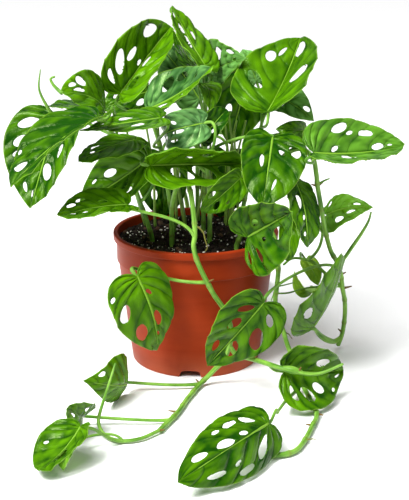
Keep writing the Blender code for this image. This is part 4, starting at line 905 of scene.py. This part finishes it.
# Each stem's node, radius and points from the soil on; its foot goes straight down from there
STEMS = [
    ("stem_front", 2.5, [
        (-24, -28, 135), (-23, -38, 172), (-17, -52, 197), (-9, -65, 203), (-5, -76, 197),
        (-3, -81, 185), (-1, -88, 167), (-1, -92, 156), (-2, -94.5, 148), (1, -96, 135),
        (6, -97, 123), (11, -98, 113), (18, -97, 99), (28, -95, 83), (34, -93, 64),
        (33, -91, 45), (26, -88, 27), (18, -86, 17), (11, -86, 9), (4, -92, 4.5),
        (-8, -124, 3.8), (-17, -155, 3.8), (-24, -172, 3.8), (-33, -193, 3.8)]),
    ("stem_right", 2.4, [
        (60, -22, 135), (68, -34, 180), (84, -48, 222), (100, -60, 235), (112, -65, 227),
        (116, -64, 211), (118, -60, 198), (122, -56, 178), (126, -50, 159), (131, -44, 139),
        (136, -38, 124), (143, -32, 111), (148, -26, 96), (151, -20, 79), (155, -10, 62),
        (157, 0, 42), (156, 6, 20), (152, 8, 5)]),
    ("stem_inner", 2.4, [
        (41, -46, 135), (50, -58, 158), (64, -68, 164), (75, -71, 152), (79, -71, 136),
        (81, -68, 116), (80, -66, 97), (79, -64, 81), (83, -63, 62), (88, -64, 48),
        (92, -67, 35), (98, -79, 22), (104, -100, 9), (110, -130, 3.8), (113, -160, 3.8),
        (107, -184, 3.8), (97, -214, 3.8), (88, -233, 3.8), (77, -241, 3.8), (64, -243, 3.8)]),
    ("stem_left", 2.4, [
        (-45, -16, 135), (-56, -20, 172), (-68, -20, 205), (-76, -16, 226), (-80, -12, 238)]),
    ("stem_top_left", 2.4, [(-23, 11, 135), (-29, 14, 180), (-36, 14, 220), (-42, 10, 244)]),
    ("stem_top", 2.4, [(8, 21, 135), (9, 25, 190), (10, 26, 240), (10, 24, 268)]),
    ("stem_top_right", 2.4, [(45, 8, 135), (54, 6, 185), (62, 2, 225), (66, -4, 244)]),
    ("stem_middle", 2.4, [(14, -30, 135), (14, -34, 175), (12, -38, 205), (10, -40, 222)]),
    ("stem_back", 2.4, [(2, 53, 135), (2, 58, 180), (2, 62, 215), (3, 66, 232)]),
    ("vine_back", 2.5, [
        (-12, 42, 132), (-16, 60, 156), (-16, 78, 164), (-14, 92, 156), (-10, 98, 140),
        (-6, 99, 110), (0, 96, 70), (4, 98, 34), (8, 108, 9), (12, 130, 3.8),
        (10, 165, 3.8), (4, 200, 3.8), (0, 228, 3.8)]),
]

# Branches fused to each stem: radii at the start, in the middle and at the end, and points
BRANCHES = {
    "stem_front": [
        (2.3, 2.4, 1.2, [
            (33, -91, 45), (39, -92, 36), (46, -96, 35), (54, -106, 37), (66, -128, 42),
            (79, -142, 43), (96, -148, 41), (108, -148, 39), (120, -148, 41), (137, -150, 50)]),
        (2.5, 3.8, 2.0, [
            (82, -143, 43), (90, -146, 42.5), (99, -148, 41)]),
        (1.8, 1.7, 0.9, [
            (-33, -193, 3.8), (-50, -209, 3.4), (-68, -213, 3.4), (-82, -205, 5), (-88, -198, 13),
            (-87, -190, 21), (-81, -168, 36), (-75, -152, 52)])],
    "stem_right": [
        (2.4, 3.2, 1.8, [
            (155, 7, 14), (148, 6, 10), (139, -8, 17), (130, -18, 26), (122, -34, 40)]),
        (1.9, 1.9, 1.0, [
            (143, -30, 109), (150, -29, 114), (158, -28, 126), (167, -29, 141), (173, -31, 154),
            (175, -33, 164)]),
        (1.9, 1.6, 1.2, [
            (151, -20, 79), (143, -18, 87), (132, -24, 97), (119, -28, 110), (106, -34, 116),
            (96, -38, 117), (88, -42, 112)])],
    "stem_inner": [
        (1.9, 1.6, 1.4, [
            (103, -100, 9), (98, -113, 7), (90, -132, 9), (83, -154, 13), (73, -199, 24)])],
}

# Root nubs at the nodes of each stem: root point, end point
NUBS = {
    "stem_front": [
        ((11, -98, 113), (17, -101, 117)), ((4, -92, 4.5), (0, -84, 6)),
        ((-17, -155, 3.8), (-26, -152, 4)), ((-33, -193, 3.8), (-29, -199, 7)),
        ((54, -106, 37), (56, -106, 43)), ((96, -148, 41), (98, -149, 46.5))],
    "stem_right": [
        ((118, -60, 198), (123, -61, 202)), ((118, -60, 198), (112, -61, 200)),
        ((148, -26, 96), (153, -27, 99)), ((151, -20, 79), (160, -22, 82)),
        ((156, 6, 20), (151, 4, 25))],
    "stem_inner": [
        ((113, -160, 3.8), (119, -162, 3.5)), ((107, -184, 3.8), (101, -181, 3.5))],
}

# Leaf stalks of each stem: leaf, where the stalk starts, radius, and a pull point where the
# plain arc would meet a neighbour
STALKS = {
    "stem_front": [
        ("middle_9", (-1, -92, 156), 1.4), ("pot_1", (11, -98, 113), 1.5, (-34, -62, 98)),
        ("pot_3", (66, -128, 42), 1.4), ("floor_2", (4, -92, 4.5), 1.4, (-26, -101, 5)),
        ("floor_3", (-24, -172, 3.8), 1.4, (-52, -178, 5)),
        ("floor_4", (-66, -213, 3.4), 1.4, (-80, -220, 5)), ("floor_5", (-66, -213, 3.4), 1.1)],
    "stem_right": [
        ("right_3", (112, -65, 227), 1.4, (114, -86, 223)), ("pot_2", (148, -26, 96), 1.4),
        ("right_6", (113, -31, 113), 1.4, (136, -18, 124)),
        ("right_5", (122, -34, 40), 1.4, (119, -35, 40)),
        ("right_8", (106, -34, 116), 1.1, (107, -10, 115)),
        ("right_7", (132, -24, 97), 1.1, (133, -14, 86))],
    "stem_inner": [
        ("middle_2", (50, -58, 158), 1.4), ("middle_3", (64, -68, 164), 1.4),
        ("middle_4", (66, -69, 163), 1.1, (77, -72, 167)), ("floor_1", (73, -199, 24), 1.4)],
    "stem_left": [
        ("left_1", (-76, -16, 226), 1.4, (-83, -35, 299)),
        ("left_2", (-80, -12, 238), 1.4, (-96, -8, 241)),
        ("left_3", (-80, -12, 238), 1.4, (-86, -4, 239)),
        ("left_4", (-80, -12, 238), 1.4, (-87, -2, 241)),
        ("middle_10", (-79, -13, 235), 1.4, (-93, -54, 240)),
        ("middle_8", (-56, -20, 172), 1.4, (-45, -20, 176))],
    "stem_top_left": [
        ("top_1", (-42, 10, 244), 1.4), ("top_6", (-42, 10, 244), 1.4),
        ("middle_11", (-36, 14, 220), 1.4, (-56, -13, 223))],
    "stem_top": [
        ("top_2", (10, 24, 268), 1.4), ("top_3", (10, 24, 268), 1.4, (12, 28, 287)),
        ("top_4", (10, 24, 268), 1.4, (18, 53, 253)), ("top_7", (10, 26, 240), 1.1)],
    "stem_top_right": [
        ("top_5", (65, -3, 241), 1.4, (67, -10, 249)), ("right_1", (66, -4, 243), 1.1),
        ("right_2", (64, -1, 236), 1.4), ("right_4", (62, 2, 225), 1.1)],
    "stem_middle": [
        ("middle_5", (10, -40, 222), 1.4, (19, -66, 231)), ("middle_6", (10, -40, 222), 1.1),
        ("middle_7", (12, -38, 205), 1.4, (-28, -27, 243)),
        ("middle_12", (14, -34, 175), 1.4, (39, -35, 179)), ("middle_1", (10, -40, 222), 1.4)],
    "stem_back": [
        ("back_1", (3, 65, 230), 1.4), ("back_2", (3, 65, 231), 1.4, (26, 84, 262)),
        ("back_3", (2, 61, 212), 1.4, (20, 56, 232)), ("back_4", (3, 64, 226), 1.4, (-18, 76, 268)),
        ("back_5", (2, 61, 209), 1.4, (-16, 56, 228)), ("back_9", (3, 66, 232), 1.4)],
    "vine_back": [
        ("back_6", (0, 96, 70), 1.4), ("back_7", (10, 165, 3.8), 1.4),
        ("back_8", (0, 228, 3.8), 1.4)],
}
STEM_FOOT = 108.0
ROUTE_STEP = 1.6
NODE_SWELL = 0.18
STEM_SIDES = 16
STALK_SIDES = 12
NUB_SIDES = 8
SHOOT_SIDES = 10


def even_route(points):
    """Points about one step apart along the smooth curve through a route."""
    fine = smooth_curve(points, np.linspace(0, 1, 40 * (len(points) - 1) + 1))
    gone = run_along(fine)
    at = np.linspace(0, gone[-1], max(4, int(round(gone[-1] / ROUTE_STEP))) + 1)
    return np.stack([np.interp(at, gone, fine[:, k]) for k in range(3)], -1)


def stalk_route(row, start, radius, pulls):
    """A cubic arc from the stem to a neck under the leaf's base, then straight up to the blade."""
    base, tip, face, fold = row[0], row[1], row[2], row[5]
    run, look = leaf_frame(base, tip, face)[1:]
    drop = BLADE / 2 + SEAT_GAP + radius * (0.75 + math.tan(math.radians(max(0, -fold))))
    end = np.asarray(base, float) - look * drop + run * 1.5
    start = np.asarray(start, float)
    span = np.linalg.norm(end - start)
    neck = end - look * min(4, 0.25 * span) - run * min(6, 0.35 * span)
    second = neck - unit(end - neck) * min(14, 0.3 * span)
    rise = start + np.array((0, 0, 0.25 * span)) + 0.12 * (neck - start)
    first = np.asarray(pulls[0], float) if pulls else rise
    u = np.linspace(0, 1, 12)[:, None]
    w = 1 - u
    arc = w ** 3 * start + 3 * u * w * w * first + 3 * u * u * w * second + u ** 3 * neck
    return even_route(np.concatenate([arc, [end + look * 0.3]])), look


def joined(parts):
    """One set of points, faces, corner UVs and tones from several tubes."""
    shift = np.cumsum([0] + [len(p[0]) for p in parts])
    points = np.concatenate([p[0] for p in parts])
    faces = np.concatenate([p[1] + s for p, s in zip(parts, shift)])
    uv = np.concatenate([p[2][p[1].ravel()] for p in parts])
    tone = np.concatenate([np.full(len(p[0]), p[3]) if np.isscalar(p[3]) else p[3] for p in parts])
    return points, faces, uv, tone


def stem_girth(route, radius, seed):
    """Radius along a stem, swollen at its nodes every 25 to 35 mm, and how much of a node it is."""
    random = np.random.default_rng(seed)
    gone = run_along(route)
    nodes = np.cumsum(random.uniform(25, 35, 40))
    nodes = nodes[nodes < gone[-1] - 6]
    near = np.min(np.abs(gone[:, None] - nodes[None]), axis=1) if len(nodes) else gone + 99
    scar = np.exp(-(near / 2.2) ** 2)
    return radius * (0.98 + NODE_SWELL * scar), scar


# Green stem: a smooth waxy skin, yellow-green with fine streaks along it and a tan ring at each
# node, where a leaf stood. Root nubs are corky brown.
stem_skin, tree, shader = new_material("waxy green stem")
place = add(tree, "TexCoord")["Object"]
surface = add(tree, "UVMap", uv_map="surface")["UV"]
stretch = add(tree, "Mapping", {"Vector": surface, "Scale": (0.03, 9.0, 1.0)})[0]
streaks = add(tree, "TexNoise", {"Vector": stretch, "Scale": 1.0, "Detail": 4.0})["Fac"]
patches = add(tree, "TexNoise", {"Vector": place, "Scale": 60.0, "Detail": 3.0})["Fac"]
cork = add(tree, "Attribute", attribute_name="cork")["Fac"]
both = add(tree, "Math", [streaks, patches], operation="ADD")[0]
share = add(tree, "MapRange", [both, 0.7, 1.3, 0.0, 1.0])[0]
deep, bright = linear("#34680F"), linear("#88B848")
green = add(tree, "Mix", {0: share, 6: deep, 7: bright}, data_type="RGBA")[2]
feed(tree, shader, {
    "Base Color": add(tree, "Mix", {0: cork, 6: green, 7: linear("#6A4A28")}, data_type="RGBA")[2],
    "Roughness": add(tree, "MapRange", [cork, 0.0, 1.0, 0.4, 0.8])[0],
    "Normal": add(tree, "Bump", {"Height": streaks, "Strength": 0.35, "Distance": 0.0004})[0],
    "IOR": 1.45, "Specular IOR Level": 0.3})

for number, (node, radius, way) in enumerate(STEMS):
    x, y, z = way[0]
    route = even_route([(x, y, STEM_FOOT), (x, y, (STEM_FOOT + z) / 2)] + way)
    girth, scars = stem_girth(route, radius, 40 + number)
    scars = np.repeat(np.concatenate([[0] * 3, scars ** 3, [0] * 3]), STEM_SIDES)
    parts = [(*carried_tube(route, girth, STEM_SIDES), 0.4 * scars)]
    for *radii, way in BRANCHES.get(node, []):
        route = even_route(way)
        share = np.linspace(0, 1, len(route))
        girth = smooth_curve([[r] for r in radii], share)[:, 0]
        parts.append((*carried_tube(route, girth, STALK_SIDES), 0.0))
    for root, end in NUBS.get(node, []):
        route = np.linspace(root, end, 5)
        parts.append((*carried_tube(route, np.linspace(1.5, 0.6, 5), NUB_SIDES), 0.9))
    for leaf, start, thick, *pulls in STALKS[node]:
        route, look = stalk_route(LEAVES[leaf], start, thick, pulls)
        share = np.linspace(0, 1, len(route))
        foot, knee = np.exp(-share / 0.08), np.exp(-((share - 0.93) / 0.05) ** 2)
        girth = thick * (1.12 + 0.4 * foot + 0.22 * knee)
        parts.append((*carried_tube(route, girth, STALK_SIDES, 0.25, look), 0.0))
    points, faces, uv, cork_amount = joined(parts)
    piece("green_" + node, points, faces, stem_skin, [node], uv, {"cork": cork_amount})


# New growth and air roots: too slight for solids of their own. A rolled young leaf stands up on
# the left, a leaf tip curls over, and thin roots and tendrils hang from the stems.
# Each piece: name, how corky, and its shoots with their radii at the two ends and their points
GROWTHS = [
    ("new_growth", 0.0, [
        (2.6, 0.5, [
            (-139, 8, 247), (-142, -2, 256), (-147, -11, 268), (-153, -15, 285), (-151, -15, 304)]),
        (2.0, 1.0, [
            (-126, -56, 288), (-130, -54, 291), (-135, -52, 296), (-137, -51, 301), (-133, -51, 303)]),
        (0.8, 0.6, [(80, -65, 97), (87, -64, 98), (97, -62, 100)]),
        (0.9, 0.7, [(80, -66, 90), (93, -58, 88), (110, -42, 87), (130, -30, 85), (150, -22, 81)]),
        (0.9, 0.5, [(81, -68, 110), (78, -74, 98), (74, -76, 86)]),
        (1.3, 0.7, [(118, -60, 199), (123, -61, 203), (129, -62, 206)])]),
    ("air_roots", 0.7, [
        (0.9, 0.4, [(2, -93, 167), (7, -94, 162), (9, -96, 155), (11, -98, 148), (9, -97, 144)]),
        (0.8, 0.3, [(88, -64, 48), (93, -61, 45), (97, -60, 39)]),
        (0.8, 0.3, [(97, -214, 3.8), (104, -216, 6), (108, -215, 4)])]),
]
# Between the climbing stems stands a thicket of thin bare stalks
thicket = np.random.default_rng(77)
stalks = []
for _ in range(16):
    foot = np.array([thicket.uniform(-55, 58), thicket.uniform(0, 42), 140.0])
    head = np.array([1.2 * foot[0], 1.1 * foot[1], thicket.uniform(222, 256)])
    head = head + thicket.uniform(-9, 9, 3)
    stalks.append((1.5, 1.0, [foot, (foot + head) / 2 + thicket.uniform(-6, 6, 3), head]))
GROWTHS.append(("bare_stalks", 0.25, stalks))
for name, corky, ways in GROWTHS:
    parts = []
    for thick, thin, way in ways:
        route = even_route(way)
        girth = np.linspace(thick, thin, len(route))
        parts.append((*carried_tube(route, girth, SHOOT_SIDES), corky))
    points, faces, uv, cork_amount = joined(parts)
    piece(name, points, faces, stem_skin, [], uv, {"cork": cork_amount})
